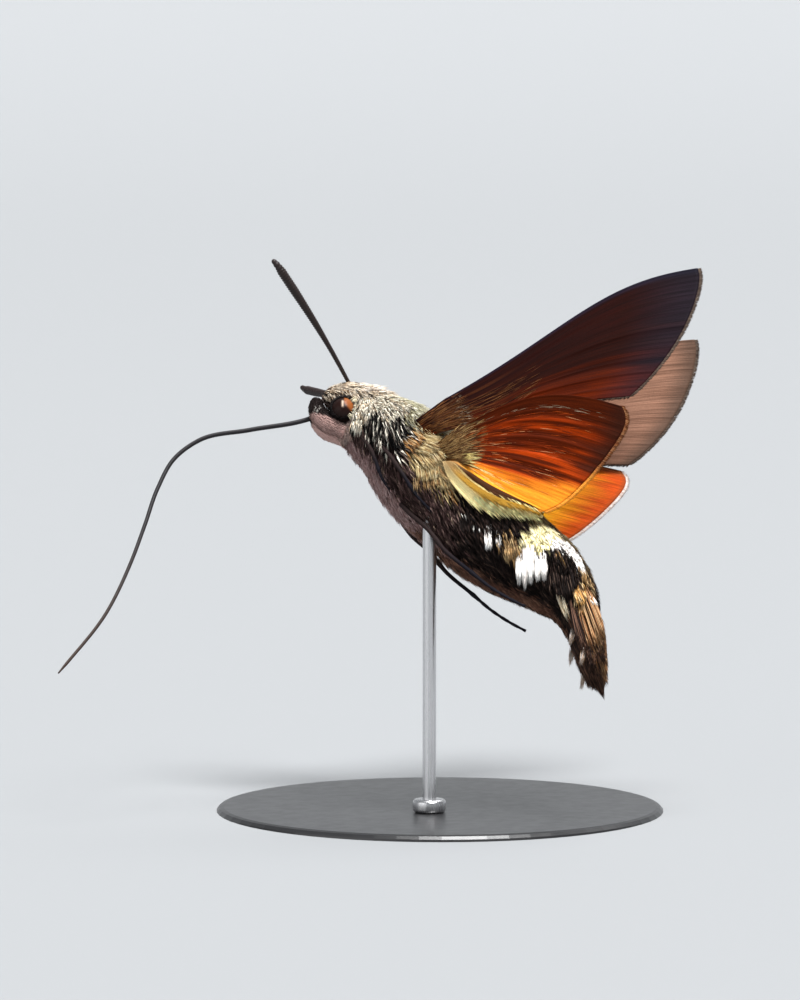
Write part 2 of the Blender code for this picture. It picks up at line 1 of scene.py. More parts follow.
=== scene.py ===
"""Looks of the hummingbird hawk moth on its display stand.

The moth is drawn in its own frame, in millimetres: the origin is in the middle of the thorax,
+X runs to the tail, +Y to the moth's right and +Z to its back. POSE sets that frame on the stand.
A place on the body is given by its distance along the body and its turn, in degrees from the
middle of the back, which is negative on the moth's left side.
"""
import math

import bmesh
import bpy
import numpy as np
from mathutils import Matrix, Vector


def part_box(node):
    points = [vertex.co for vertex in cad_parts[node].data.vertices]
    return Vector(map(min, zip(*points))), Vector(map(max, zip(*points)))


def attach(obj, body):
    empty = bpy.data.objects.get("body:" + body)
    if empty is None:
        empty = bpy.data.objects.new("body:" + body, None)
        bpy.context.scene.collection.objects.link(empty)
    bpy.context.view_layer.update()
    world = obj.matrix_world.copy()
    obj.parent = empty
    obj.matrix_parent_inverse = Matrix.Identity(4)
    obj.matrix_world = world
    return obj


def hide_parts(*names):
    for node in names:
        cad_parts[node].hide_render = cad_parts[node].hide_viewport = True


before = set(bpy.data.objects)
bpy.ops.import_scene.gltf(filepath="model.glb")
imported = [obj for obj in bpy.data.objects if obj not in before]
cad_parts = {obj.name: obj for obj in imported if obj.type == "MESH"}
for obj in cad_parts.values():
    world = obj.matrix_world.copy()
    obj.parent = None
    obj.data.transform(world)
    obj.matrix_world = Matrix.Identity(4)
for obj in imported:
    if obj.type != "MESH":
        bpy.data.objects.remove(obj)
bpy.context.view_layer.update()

MM = 0.001
LEFT = -1
RIGHT = 1
SIDE_NAMES = {LEFT: "left", RIGHT: "right"}
SEED = 11

# Pose of the moth on the stand: where the thorax hangs, in mm, and its turns, in degrees
HOVER = (-1.67, 0.0, 26.0)
PITCH = 44.1
YAW = 2.0
BANK = 29.0
POSE = (
    Matrix.Translation(Vector(HOVER) * MM)
    @ Matrix.Rotation(math.radians(-BANK), 4, "X")
    @ Matrix.Rotation(math.radians(-YAW), 4, "Z")
    @ Matrix.Rotation(math.radians(PITCH), 4, "Y")
    @ Matrix.Scale(MM, 4)
)

# Outer face of the coat: place, height of the middle, half height, half width, and the coat's depth
BODY = (
    (-8.0, -0.55, 0.40, 0.45, 0.14),
    (-7.6, -0.35, 0.75, 0.95, 0.16),
    (-7.0, -0.05, 1.15, 1.40, 0.20),
    (-6.0, 0.05, 1.65, 1.75, 0.26),
    (-4.9, -0.10, 2.36, 2.02, 0.40),
    (-3.6, 0.05, 2.76, 2.90, 0.52),
    (-2.5, 0.22, 3.04, 3.35, 0.55),
    (-0.8, 0.07, 3.47, 3.60, 0.58),
    (1.5, -0.20, 3.77, 3.70, 0.58),
    (4.2, -0.28, 3.68, 3.65, 0.52),
    (7.0, -0.45, 3.58, 3.70, 0.48),
    (9.7, -0.26, 3.25, 3.60, 0.48),
    (12.6, 0.10, 2.64, 3.20, 0.48),
    (14.2, 0.02, 2.15, 2.90, 0.48),
    (15.5, -0.45, 1.85, 2.50, 0.50),
    (16.7, -1.20, 1.45, 2.20, 0.62),
    (17.6, -1.80, 1.05, 1.90, 0.72),
)
HEAD_END = -4.7
BODY_END = BODY[-1][0]
SKIN_SIDES = 32

EYE_CENTRE = (-5.66, 1.26, -0.92)
EYE_RADIUS = 0.86


def table(rows, x):
    """Smooth values of a table of rows at the places x, with a curve through every row."""
    x = np.atleast_1d(np.asarray(x, float))
    places = np.array([row[0] for row in rows])
    values = np.array([row[1:] for row in rows])
    slopes = np.gradient(values, places, axis=0)
    i = np.clip(np.searchsorted(places, x) - 1, 0, len(rows) - 2)
    step = (places[i + 1] - places[i])[:, None]
    t = (x[:, None] - places[i][:, None]) / step
    return (
        (2 * t**3 - 3 * t**2 + 1) * values[i]
        + (t**3 - 2 * t**2 + t) * step * slopes[i]
        + (3 * t**2 - 2 * t**3) * values[i + 1]
        + (t**3 - t**2) * step * slopes[i + 1]
    )


def spline(points, count):
    """Evenly spread points on a smooth curve through the given ones."""
    points = np.array(points, float)
    lengths = np.linalg.norm(np.diff(points, axis=0), axis=1)
    places = np.concatenate(([0.0], np.cumsum(lengths)))
    rows = [(place, *point) for place, point in zip(places, points)]
    return table(rows, np.linspace(0.0, places[-1], count))


def unit(vectors):
    return vectors / np.maximum(np.linalg.norm(vectors, axis=-1, keepdims=True), 1e-9)


def on_body(x, degrees, lift=0.0, under_coat=False):
    """Points over the coat's outer face, or over the skin, and the directions straight out there."""
    x = np.atleast_1d(np.asarray(x, float))
    turn = np.radians(np.broadcast_to(degrees, x.shape))
    middle, height, width, depth = table(BODY, x).T
    if under_coat:
        height = height - depth
        width = width - depth
    lift = np.broadcast_to(lift, x.shape)
    side = np.sin(turn)
    up = np.cos(turn)
    out = unit(np.stack([np.zeros_like(x), side / width, up / height], axis=1))
    points = np.stack([x, width * side, middle + height * up], axis=1)
    return points + out * lift[:, None], out


def mirrored(points, side):
    """Points of the right side, or their mirror images on the left."""
    return np.asarray(points, float) * (1.0, side, 1.0)


def steps(value, low, high):
    """A soft step from 0 at low to 1 at high."""
    share = np.clip((value - low) / (high - low), 0.0, 1.0)
    return share * share * (3.0 - 2.0 * share)


def blend(one, two, amount):
    """Colours from one to two, by amounts from 0 to 1."""
    amount = np.clip(amount, 0.0, 1.0)[..., None]
    return np.asarray(one) * (1.0 - amount) + np.asarray(two) * amount


def joined(parts):
    """The arrays of many parts, each kind joined in one."""
    return [np.concatenate(values) for values in zip(*parts)]


def inside_square(across, along):
    """Unwrap of places given by shares from 0 to 1."""
    return np.stack([0.02 + 0.96 * across, 0.02 + 0.96 * along], axis=1)


# Materials

SOFT_SPECULAR = 0.06


def new_material(name, roughness, colour=(0.5, 0.5, 0.5), metallic=0.0):
    """A new material, its nodes, its links and its shader."""
    material = bpy.data.materials.new(name)
    material.use_nodes = True
    nodes = material.node_tree.nodes
    shader = nodes["Principled BSDF"]
    shader.inputs["Base Color"].default_value = (*colour, 1.0)
    shader.inputs["Roughness"].default_value = roughness
    shader.inputs["Metallic"].default_value = metallic
    return material, nodes, material.node_tree.links, shader


def add_bump(nodes, links, shader, height, strength, distance):
    bump = nodes.new("ShaderNodeBump")
    bump.inputs["Strength"].default_value = strength
    bump.inputs["Distance"].default_value = distance
    links.new(height, bump.inputs["Height"])
    links.new(bump.outputs["Normal"], shader.inputs["Normal"])


def object_noise(nodes, links, scale, detail=3.0, stretch=None):
    """Noise in the piece's own coordinates, whose scale is in bumps for each millimetre."""
    coords = nodes.new("ShaderNodeTexCoord")
    noise = nodes.new("ShaderNodeTexNoise")
    noise.inputs["Scale"].default_value = scale / MM
    noise.inputs["Detail"].default_value = detail
    source = coords.outputs["Object"]
    if stretch:
        mapping = nodes.new("ShaderNodeMapping")
        mapping.inputs["Scale"].default_value = stretch
        links.new(source, mapping.inputs["Vector"])
        source = mapping.outputs["Vector"]
    links.new(source, noise.inputs["Vector"])
    return noise.outputs["Fac"]


def ramp(nodes, links, source, stops):
    """A colour ramp with stops of (place, colour)."""
    node = nodes.new("ShaderNodeValToRGB")
    while len(node.color_ramp.elements) < len(stops):
        node.color_ramp.elements.new(0.5)
    for element, (place, colour) in zip(node.color_ramp.elements, stops):
        element.position = place
        element.color = (*colour, 1.0)
    links.new(source, node.inputs["Fac"])
    return node.outputs["Color"]


def multiplied(nodes, links, one, two):
    """The product of two colours."""
    node = nodes.new("ShaderNodeMix")
    node.data_type = "RGBA"
    node.blend_type = "MULTIPLY"
    node.inputs["Factor"].default_value = 1.0
    links.new(one, node.inputs["A"])
    links.new(two, node.inputs["B"])
    return node.outputs["Result"]


STREAKS_ACROSS = 130.0
STREAKS_ALONG = 5.0


def fan_streaks(nodes, links):
    """Fine streaks from a wing's root to its margin, by the wing's own unwrap."""
    unwrap = nodes.new("ShaderNodeUVMap")
    unwrap.uv_map = "UVMap"
    mapping = nodes.new("ShaderNodeMapping")
    mapping.inputs["Scale"].default_value = (STREAKS_ACROSS, STREAKS_ALONG, 1.0)
    noise = nodes.new("ShaderNodeTexNoise")
    noise.inputs["Scale"].default_value = 1.0
    noise.inputs["Detail"].default_value = 2.0
    links.new(unwrap.outputs["UV"], mapping.inputs["Vector"])
    links.new(mapping.outputs["Vector"], noise.inputs["Vector"])
    return noise.outputs["Fac"]


def painted_colour(nodes):
    """The colours painted on the piece's mesh."""
    node = nodes.new("ShaderNodeVertexColor")
    node.layer_name = "paint"
    return node.outputs["Color"]


def painted_material(name, roughness, grain, grain_depth, bump=0.0, streaks=0.0, specular=SOFT_SPECULAR):
    """A finish whose colours are painted on the mesh, with a fine grain over them."""
    material, nodes, links, shader = new_material(name, roughness)
    noise = object_noise(nodes, links, grain)
    shade = ramp(nodes, links, noise, ((0.3, (1.0 - grain_depth,) * 3), (0.7, (1.0, 1.0, 1.0))))
    colour = multiplied(nodes, links, painted_colour(nodes), shade)
    if streaks:
        stops = ((0.35, (1.0 - streaks,) * 3), (0.62, (1.0 + 0.3 * streaks,) * 3))
        shade = ramp(nodes, links, fan_streaks(nodes, links), stops)
        colour = multiplied(nodes, links, colour, shade)
    links.new(colour, shader.inputs["Base Color"])
    shader.inputs["Specular IOR Level"].default_value = specular
    if bump:
        add_bump(nodes, links, shader, noise, bump, 0.05 * MM)
    return material


COAT = painted_material("coat_hair", 0.6, 6.0, 0.20)
SKIN = painted_material("skin_under_coat", 0.9, 5.0, 0.35, bump=0.8)
SCALES = painted_material("wing_scales", 0.6, 14.0, 0.22, bump=0.35, streaks=0.40, specular=0.03)
FACE = painted_material("face_scales", 0.7, 16.0, 0.15, bump=0.3)
HORN = painted_material("dark_horn", 0.42, 12.0, 0.35, bump=0.3, specular=0.28)
LEG_HORN = painted_material("leg_horn", 0.7, 12.0, 0.35, bump=0.4, specular=0.05)


def eye_material():
    """Dark compound eye with a fine net of facets and a rusty upper rim."""
    material, nodes, links, shader = new_material("eye_gloss", 0.3)
    links.new(painted_colour(nodes), shader.inputs["Base Color"])
    coords = nodes.new("ShaderNodeTexCoord")
    facets = nodes.new("ShaderNodeTexVoronoi")
    facets.feature = "DISTANCE_TO_EDGE"
    facets.inputs["Scale"].default_value = 16.0 / MM
    links.new(coords.outputs["Object"], facets.inputs["Vector"])
    add_bump(nodes, links, shader, facets.outputs["Distance"], 0.12, 0.01 * MM)
    shader.inputs["Specular IOR Level"].default_value = 0.10
    return material


def base_material():
    """Satin black with faint clouds and wear."""
    material, nodes, links, shader = new_material("satin_black", 0.3)
    cloud = object_noise(nodes, links, 0.25, 4.0)
    tint = ramp(nodes, links, cloud, ((0.3, (0.012, 0.012, 0.013)), (0.75, (0.016, 0.016, 0.017))))
    links.new(tint, shader.inputs["Base Color"])
    wear = object_noise(nodes, links, 1.2, 5.0)
    rough = ramp(nodes, links, wear, ((0.35, (0.30,) * 3), (0.7, (0.34,) * 3)))
    links.new(rough, shader.inputs["Roughness"])
    add_bump(nodes, links, shader, object_noise(nodes, links, 6.0, 2.0), 0.15, 0.02 * MM)
    return material


def rod_material():
    """Brushed steel, drawn along the rod."""
    material, nodes, links, shader = new_material("brushed_rod", 0.28, (0.62, 0.62, 0.63), 1.0)
    lines = object_noise(nodes, links, 9.0, 2.0, stretch=(1.0, 1.0, 0.03))
    rough = ramp(nodes, links, lines, ((0.3, (0.20,) * 3), (0.7, (0.40,) * 3)))
    links.new(rough, shader.inputs["Roughness"])
    add_bump(nodes, links, shader, lines, 0.2, 0.02 * MM)
    return material


EYE = eye_material()
BASE = base_material()
ROD = rod_material()


# Helpers for pieces


def alone(item):
    """Makes a piece the only selected and active one."""
    if bpy.context.object and bpy.context.object.mode != "OBJECT":
        bpy.ops.object.mode_set(mode="OBJECT")
    bpy.ops.object.select_all(action="DESELECT")
    item.select_set(True)
    bpy.context.view_layer.objects.active = item


def apply_modifiers(item):
    alone(item)
    for modifier in list(item.modifiers):
        bpy.ops.object.modifier_apply(modifier=modifier.name)


def soften(item, name, levels):
    """Rounds a piece by subdividing it."""
    smooth = item.modifiers.new(name, "SUBSURF")
    smooth.levels = levels
    smooth.render_levels = levels
    apply_modifiers(item)


def paint(item, colours):
    """Paints one colour on each point of a mesh."""
    layer = item.data.color_attributes.get("paint")
    if layer is None:
        layer = item.data.color_attributes.new("paint", "FLOAT_COLOR", "POINT")
    colours = np.clip(np.asarray(colours, float), 0.0, 1.0)
    rgba = np.concatenate([colours, np.ones((len(colours), 1))], axis=1)
    layer.data.foreach_set("color", rgba.astype(np.float32).ravel())


def mesh_points(item):
    points = np.zeros(len(item.data.vertices) * 3)
    item.data.vertices.foreach_get("co", points)
    return points.reshape(-1, 3)


def set_points(item, points):
    item.data.vertices.foreach_set("co", np.asarray(points, float).ravel())
    item.data.update()


def settle(item, name, material, nodes=()):
    """Sets a piece drawn in the moth's frame on the stand, and gives it its finish and its place."""
    item.name = name
    item.data.name = name
    item.data.materials.clear()
    item.data.materials.append(material)
    item.data.transform(POSE @ item.matrix_world)
    item.matrix_world = Matrix.Identity(4)
    item.data.shade_smooth()
    finish_piece(item, nodes)


def finish_piece(item, nodes=()):
    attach(item, "root")
    if nodes:
        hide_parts(*nodes)


def tube(points, radii, sides=12):
    """A round tube along points, closed at its ends, made from a path curve."""
    points = np.asarray(points, float)
    bpy.ops.object.select_all(action="DESELECT")
    bpy.ops.curve.primitive_nurbs_path_add()
    item = bpy.context.object
    curve = item.data
    curve.splines.clear()
    line = curve.splines.new("POLY")
    line.points.add(len(points) - 1)
    for knot, point, radius in zip(line.points, points, radii):
        knot.co = (*point, 1.0)
        knot.radius = float(radius)
    curve.bevel_depth = 1.0
    curve.bevel_resolution = max(0, sides // 4 - 1)
    curve.use_fill_caps = True
    alone(item)
    bpy.ops.object.convert(target="MESH")
    item = bpy.context.object
    bm = bmesh.new()
    bm.from_mesh(item.data)
    bmesh.ops.remove_doubles(bm, verts=bm.verts, dist=1e-5)
    bmesh.ops.recalc_face_normals(bm, faces=bm.faces)
    bm.to_mesh(item.data)
    bm.free()
    return item


def places_along(item, points):
    """Where each point of a tube lies along its path, from 0 to 1."""
    points = np.asarray(points, float)
    spans = np.linalg.norm(np.diff(points, axis=0), axis=1)
    shares = np.concatenate(([0.0], np.cumsum(spans))) / spans.sum()
    at = mesh_points(item)
    nearest = ((at[:, None, :] - points[None, :, :]) ** 2).sum(axis=2).argmin(axis=1)
    return shares[nearest]


# Hair: closed three-sided tufts, joined in one mesh made from arrays. Each has a section's corners,
# and stations along it with its breadth there

SECTION = ((-0.5, 0.0), (0.0, 1.0), (0.5, 0.0))
SHORT_STATIONS = ((0.0, 0.75), (0.5, 1.0))
LONG_STATIONS = ((0.0, 0.8), (0.25, 1.0), (0.5, 0.95), (0.75, 0.7))
THICKNESS = 0.35
BAKE_PATCH = 0.003


def hair_mesh(name, roots, along, out, length, width, colours, unwrap,
              lift, bow, root_shade, stations=SHORT_STATIONS):
    """One piece of tufts. Each leaves its root along its lie, rises by lift and bends over by bow.
    unwrap gives its root's place on the skin, and root_shade the root's brightness."""
    count = len(roots)
    along = unit(along)
    across = unit(np.cross(along, out))
    out = unit(np.cross(across, along))
    length = np.broadcast_to(length, count)[:, None]
    width = np.broadcast_to(width, count)[:, None]
    lift = np.broadcast_to(lift, count)[:, None]
    rings = []
    ring_uvs = []
    shades = []
    for t, wide in stations + ((1.0, 0.0),):
        middle = roots + along * length * t + out * length * lift * t * (1.0 - bow * t)
        shades.append(root_shade + (1.0 - root_shade) * min(1.0, 1.6 * t))
        if wide == 0.0:
            rings.append(middle[:, None, :])
            ring_uvs.append((unwrap + (0.0, BAKE_PATCH))[:, None, :])
            continue
        corners = []
        corner_uvs = []
        for sideways, high in SECTION:
            aside = across * width * wide * sideways
            corners.append(middle + aside + out * width * wide * high * THICKNESS)
            corner_uvs.append(unwrap + (BAKE_PATCH * sideways, BAKE_PATCH * t))
        rings.append(np.stack(corners, axis=1))
        ring_uvs.append(np.stack(corner_uvs, axis=1))
    points = np.concatenate(rings, axis=1)
    uvs = np.concatenate(ring_uvs, axis=1)
    per_tuft = points.shape[1]
    quads = []
    for ring in range(len(stations) - 1):
        for k in range(3):
            low = 3 * ring
            quads.append((low + k, low + (k + 1) % 3, low + 3 + (k + 1) % 3, low + 3 + k))
    last = 3 * (len(stations) - 1)
    tris = [(last + k, last + (k + 1) % 3, last + 3) for k in range(3)]
    tris.append((2, 1, 0))
    base = np.arange(count)[:, None, None] * per_tuft
    quad_loops = (base + np.array(quads)[None]).reshape(-1)
    tri_loops = (base + np.array(tris)[None]).reshape(-1)
    loops = np.concatenate([quad_loops, tri_loops])
    quad_count = len(quad_loops) // 4
    tri_count = len(tri_loops) // 3
    starts = np.concatenate([np.arange(quad_count) * 4, 4 * quad_count + np.arange(tri_count) * 3])
    mesh = bpy.data.meshes.new(name)
    mesh.vertices.add(count * per_tuft)
    mesh.loops.add(len(loops))
    mesh.polygons.add(quad_count + tri_count)
    mesh.vertices.foreach_set("co", points.reshape(-1).astype(np.float32))
    mesh.loops.foreach_set("vertex_index", loops.astype(np.int32))
    mesh.polygons.foreach_set("loop_start", starts.astype(np.int32))
    mesh.update(calc_edges=True)
    mesh.validate()
    layer = mesh.uv_layers.new(name="OFBake")
    layer.data.foreach_set("uv", uvs.reshape(-1, 2)[loops].astype(np.float32).ravel())
    item = bpy.data.objects.new(name, mesh)
    bpy.context.scene.collection.objects.link(item)
    counts = [3] * len(stations) + [1]
    shade = np.repeat(np.array(shades), counts)
    paint(item, (colours[:, None, :] * shade[None, :, None]).reshape(-1, 3))
    settle(item, name, COAT)


# Regions of the coat: a hair's length and width, its lift as a share of the coat's depth, its lock's
# breadth, and the locks' colours with their shares

BLACK = (0.010, 0.009, 0.009)
REGIONS = {
    "crown": (0.85, 0.055, 1.25, 0.17, (
        (0.38, (0.84, 0.7, 0.53)), (0.36, (0.96, 0.87, 0.74)), (0.15, (0.36, 0.24, 0.14)), (0.11, BLACK),
    )),
    "tuft_rose": (0.9, 0.055, 2.0, 0.15, ((0.7, (1.0, 0.88, 0.77)), (0.3, (0.82, 0.64, 0.47)))),
    "mask": (0.34, 0.05, 0.5, 0.08, ((0.9, (0.014, 0.01, 0.01)), (0.1, (0.4, 0.36, 0.33)))),
    "brow": (0.6, 0.045, 0.9, 0.09, (
        (0.5, (0.78, 0.66, 0.52)), (0.22, (0.42, 0.3, 0.2)), (0.28, (0.1, 0.065, 0.05)),
    )),
    "cheek": (0.4, 0.05, 0.5, 0.1, ((0.6, (0.6, 0.42, 0.36)), (0.4, (0.42, 0.32, 0.29)))),
    "collar": (0.95, 0.06, 1.0, 0.14, (
        (0.7, (1.0, 0.9, 0.74)), (0.18, (0.76, 0.6, 0.42)), (0.12, (0.03, 0.024, 0.02)),
    )),
    "olive": (1.1, 0.05, 0.65, 0.14, (
        (0.3, (0.58, 0.53, 0.33)), (0.34, (0.76, 0.72, 0.51)), (0.12, (0.2, 0.15, 0.08)), (0.07, BLACK),
        (0.17, (0.92, 0.89, 0.74)),
    )),
    "streaks": (1.15, 0.055, 1.0, 0.12, (
        (0.58, BLACK), (0.25, (0.98, 0.89, 0.75)), (0.17, (0.16, 0.125, 0.105)),
    )),
    "chest": (0.8, 0.055, 0.8, 0.12, (
        (0.5, (0.54, 0.35, 0.33)), (0.25, (0.35, 0.215, 0.205)), (0.25, (0.66, 0.47, 0.45)),
    )),
    "flank": (1.05, 0.055, 0.7, 0.12, (
        (0.42, (0.044, 0.025, 0.023)), (0.3, (0.1, 0.056, 0.052)), (0.2, (0.18, 0.115, 0.1)),
        (0.08, (0.38, 0.27, 0.2)),
    )),
    "wing_root": (1.1, 0.042, 0.8, 0.1, (
        (0.34, (0.5, 0.36, 0.17)), (0.34, (0.68, 0.53, 0.27)), (0.1, (0.46, 0.24, 0.09)),
        (0.11, (0.19, 0.11, 0.05)), (0.11, (0.92, 0.8, 0.5)),
    )),
    "rust": (0.9, 0.055, 0.9, 0.12, (
        (0.5, (0.56, 0.28, 0.1)), (0.32, (0.66, 0.46, 0.24)), (0.18, (0.2, 0.1, 0.045)),
    )),
    "back": (1.0, 0.055, 0.6, 0.13, (
        (0.45, (0.2, 0.14, 0.075)), (0.3, (0.34, 0.25, 0.13)), (0.25, (0.08, 0.055, 0.03)),
    )),
    "back_line": (0.95, 0.055, 0.6, 0.13, ((0.6, (0.05, 0.035, 0.025)), (0.4, (0.13, 0.09, 0.05)))),
    "soot": (1.0, 0.055, 0.7, 0.13, (
        (0.72, (0.014, 0.01, 0.009)), (0.2, (0.045, 0.028, 0.023)), (0.08, (0.11, 0.072, 0.055)),
    )),
    "belly": (0.85, 0.055, 0.8, 0.12, (
        (0.5, (0.18, 0.085, 0.058)), (0.3, (0.36, 0.19, 0.125)), (0.2, (0.085, 0.048, 0.037)),
    )),
    "flecks": (0.55, 0.05, 0.9, 0.08, ((0.6, (0.012, 0.01, 0.011)), (0.4, (0.8, 0.78, 0.72)))),
    "tan": (1.05, 0.05, 0.8, 0.11, (
        (0.5, (0.46, 0.27, 0.115)), (0.27, (0.62, 0.43, 0.22)), (0.23, (0.07, 0.045, 0.03)),
    )),
    "lemon": (0.75, 0.15, 0.2, 0.34, ((0.55, (0.92, 0.8, 0.42)), (0.45, (0.96, 0.87, 0.58)))),
    "snow": (0.8, 0.13, 0.25, 0.3, ((0.7, (1.0, 0.96, 0.91)), (0.3, (1.0, 0.9, 0.84)))),
    "buff": (1.2, 0.06, 0.8, 0.14, (
        (0.46, (0.74, 0.4, 0.13)), (0.32, (0.92, 0.68, 0.37)), (0.22, (0.09, 0.05, 0.03)),
    )),
    "buff_white": (1.2, 0.06, 0.8, 0.14, (
        (0.6, (0.94, 0.82, 0.62)), (0.28, (0.74, 0.52, 0.28)), (0.12, (0.1, 0.06, 0.04)),
    )),
}

# Patches painted over one another: region, place, degrees from the back, half length, half height
# in degrees, slant in degrees for each millimetre, and how ragged the edge is
PATCHES = (
    ("olive", -0.5, 28.0, 5.2, 58.0, 0.0, 0.18),
    ("flank", 0.8, 138.0, 5.6, 44.0, 0.0, 0.20),
    ("streaks", -2.7, 98.0, 2.3, 23.0, 4.0, 0.30),
    ("streaks", -0.6, 95.0, 1.2, 14.0, 0.0, 0.30),
    ("collar", -3.5, 74.0, 1.4, 22.0, 0.0, 0.35),
    ("chest", -2.2, 180.0, 5.2, 37.0, 0.0, 0.14),
    ("chest", 3.2, 180.0, 5.2, 24.0, 0.0, 0.25),
    ("back", 8.5, 0.0, 5.8, 60.0, 0.0, 0.15),
    ("back_line", 5.8, 0.0, 0.25, 58.0, 0.0, 0.5),
    ("back_line", 7.9, 0.0, 0.25, 58.0, 0.0, 0.5),
    ("back_line", 10.0, 0.0, 0.25, 58.0, 0.0, 0.5),
    ("back_line", 12.1, 0.0, 0.25, 55.0, 0.0, 0.5),
    ("belly", 9.5, 180.0, 6.6, 22.0, 0.0, 0.30),
    ("rust", 0.1, 95.0, 0.8, 9.0, 0.0, 0.40),
    ("wing_root", 2.3, 96.0, 2.1, 17.0, 0.0, 0.35),
    ("wing_root", 2.2, 72.0, 3.2, 18.0, 0.0, 0.30),
    ("flecks", 6.9, 111.0, 1.2, 3.2, 1.0, 0.8),
    ("tan", 9.7, 103.0, 1.05, 13.0, 2.0, 0.35),
    ("tan", 14.0, 45.0, 1.3, 11.0, 0.0, 0.30),
    ("lemon", 10.6, 64.0, 1.2, 38.0, 0.0, 0.10),
    ("snow", 12.0, 50.0, 0.85, 26.0, 0.0, 0.12),
    ("snow", 12.7, 38.0, 1.3, 21.0, 4.0, 0.12),
    ("soot", 13.1, 80.0, 1.5, 25.0, 0.0, 0.15),
    ("soot", 11.0, 106.0, 0.55, 5.0, 0.0, 0.30),
    ("tan", 12.25, 71.0, 0.35, 4.5, 0.0, 0.4),
    ("buff", 15.6, 82.0, 1.15, 18.0, 0.0, 0.40),
    ("snow", 16.1, 55.0, 0.5, 9.0, 0.0, 0.3),
    ("collar", -4.55, 84.0, 0.85, 50.0, -6.0, 0.25),
    ("crown", -6.2, 15.0, 1.7, 66.0, 0.0, 0.12),
    ("tuft_rose", -5.9, 12.0, 0.7, 42.0, 0.0, 0.3),
    ("cheek", -6.4, 150.0, 2.5, 50.0, 0.0, 0.10),
    ("mask", -7.7, 112.0, 1.2, 50.0, 0.0, 0.12),
    ("mask", -7.0, 112.0, 0.9, 20.0, 0.0, 0.15),
    ("brow", -6.75, 107.0, 1.1, 13.0, -30.0, 0.25),
    ("brow", -7.3, 80.0, 0.9, 30.0, 0.0, 0.25),
)

# Painted shade between the locks: share of a region's mean colour that the skin shows there, where it
# isn't 0.5, darkened so that the gaps look shaded
GAP_SHADE = {
    "streaks": 0.05, "collar": 0.05, "flecks": 0.05, "crown": 0.25,
    "wing_root": 0.75, "rust": 0.75, "lemon": 0.95, "snow": 0.95,
}
REGION_NAMES = tuple(REGIONS)

# Lie of the coat: place, degrees from the back, and how far the hair turns down from the tail's way
LIE = (
    (-7.5, 60.0, 0.0),
    (-5.6, 20.0, -5.0),
    (-4.6, 95.0, 55.0),
    (-3.4, 112.0, 62.0),
    (-3.0, 80.0, 35.0),
    (-3.0, 35.0, 10.0),
    (-1.8, 98.0, 25.0),
    (-1.2, 125.0, 40.0),
    (-0.4, 98.0, -22.0),
    (-0.6, 75.0, 8.0),
    (0.8, 110.0, 5.0),
    (0.0, 150.0, 10.0),
    (2.0, 92.0, 12.0),
    (4.0, 120.0, 22.0),
    (3.0, 165.0, 0.0),
    (6.0, 95.0, 20.0),
    (6.0, 40.0, 4.0),
    (8.5, 112.0, 35.0),
    (8.0, 150.0, 8.0),
    (11.0, 110.0, 50.0),
    (11.0, 60.0, 30.0),
    (13.0, 100.0, 40.0),
    (13.0, 50.0, 38.0),
    (12.5, 160.0, 5.0),
    (15.5, 100.0, 25.0),
    (15.5, 40.0, 10.0),
    (9.5, 15.0, 0.0),
    (17.0, 90.0, 10.0),
)
DEGREES_PER_MM = 17.0


def lie_of_coat(x, degrees):
    """Slant of the hair from the tail's way, towards the belly, in radians."""
    lie = np.array(LIE)
    far = (x[:, None] - lie[:, 0]) ** 2 + ((degrees[:, None] - lie[:, 1]) / DEGREES_PER_MM) ** 2
    weight = 1.0 / (far + 0.25) ** 2
    return np.radians((weight * lie[:, 2]).sum(axis=1) / weight.sum(axis=1))


def soft_waves(x, degrees, phase):
    """A smooth unevenness over the body, within about 1 either way."""
    a = np.sin(2.1 * x + 0.11 * degrees + phase)
    b = np.sin(-1.3 * x + 0.17 * degrees + 2.0 * phase)
    c = np.sin(4.3 * x - 0.23 * degrees + 3.0 * phase)
    return (a + b + c) / 3.0


def regions_at(x, degrees, uneven):
    """Number of each place's region, with ragged edges where uneven isn't 0."""
    numbers = np.where(x < HEAD_END, REGION_NAMES.index("crown"), REGION_NAMES.index("soot"))
    for region, at, turn, half_length, half_height, slant, ragged in PATCHES:
        ahead = (x - at) / half_length
        over = (degrees - turn - slant * (x - at)) / half_height
        inside = ahead**2 + over**2 < 1.0 + 2.0 * ragged * uneven
        numbers = np.where(inside, REGION_NAMES.index(region), numbers)
    return numbers


def lock_values(numbers, draw):
    """Colour, length, width, lift and breadth of one lock in each of the numbered regions."""
    count = len(numbers)
    colours = np.zeros((count, 3))
    sizes = np.zeros((count, 4))
    pick = draw.random(count)
    for index, (*size, locks) in enumerate(REGIONS.values()):
        here = numbers == index
        shares = np.cumsum([share for share, colour in locks])
        choice = np.searchsorted(shares / shares[-1], pick[here], side="right")
        palette = np.array([colour for share, colour in locks])
        colours[here] = palette[np.minimum(choice, len(palette) - 1)]
        sizes[here] = size
    colours *= draw.uniform(0.82, 1.15, (count, 1))
    sizes *= draw.uniform((0.7, 0.8, 0.6, 0.7), (1.2, 1.2, 1.2, 1.3), (count, 4))
    return colours, *sizes.T


def region_means():
    """The skin's colour in each region: the locks' mean colour, darkened as painted shade between them.
    """
    means = []
    for name, (*_, locks) in REGIONS.items():
        shares = np.array([share for share, colour in locks])
        palette = np.array([colour for share, colour in locks])
        mean = (shares[:, None] * palette).sum(axis=0) / shares.sum()
        means.append(mean * GAP_SHADE.get(name, 0.5))
    return np.array(means)


def in_eye(points, margin):
    """Which points lie in either eye, grown by a margin."""
    inside = np.zeros(len(points), bool)
    for side in (LEFT, RIGHT):
        centre = mirrored(EYE_CENTRE, side)
        inside |= np.linalg.norm(points - centre, axis=1) < EYE_RADIUS + margin
    return inside


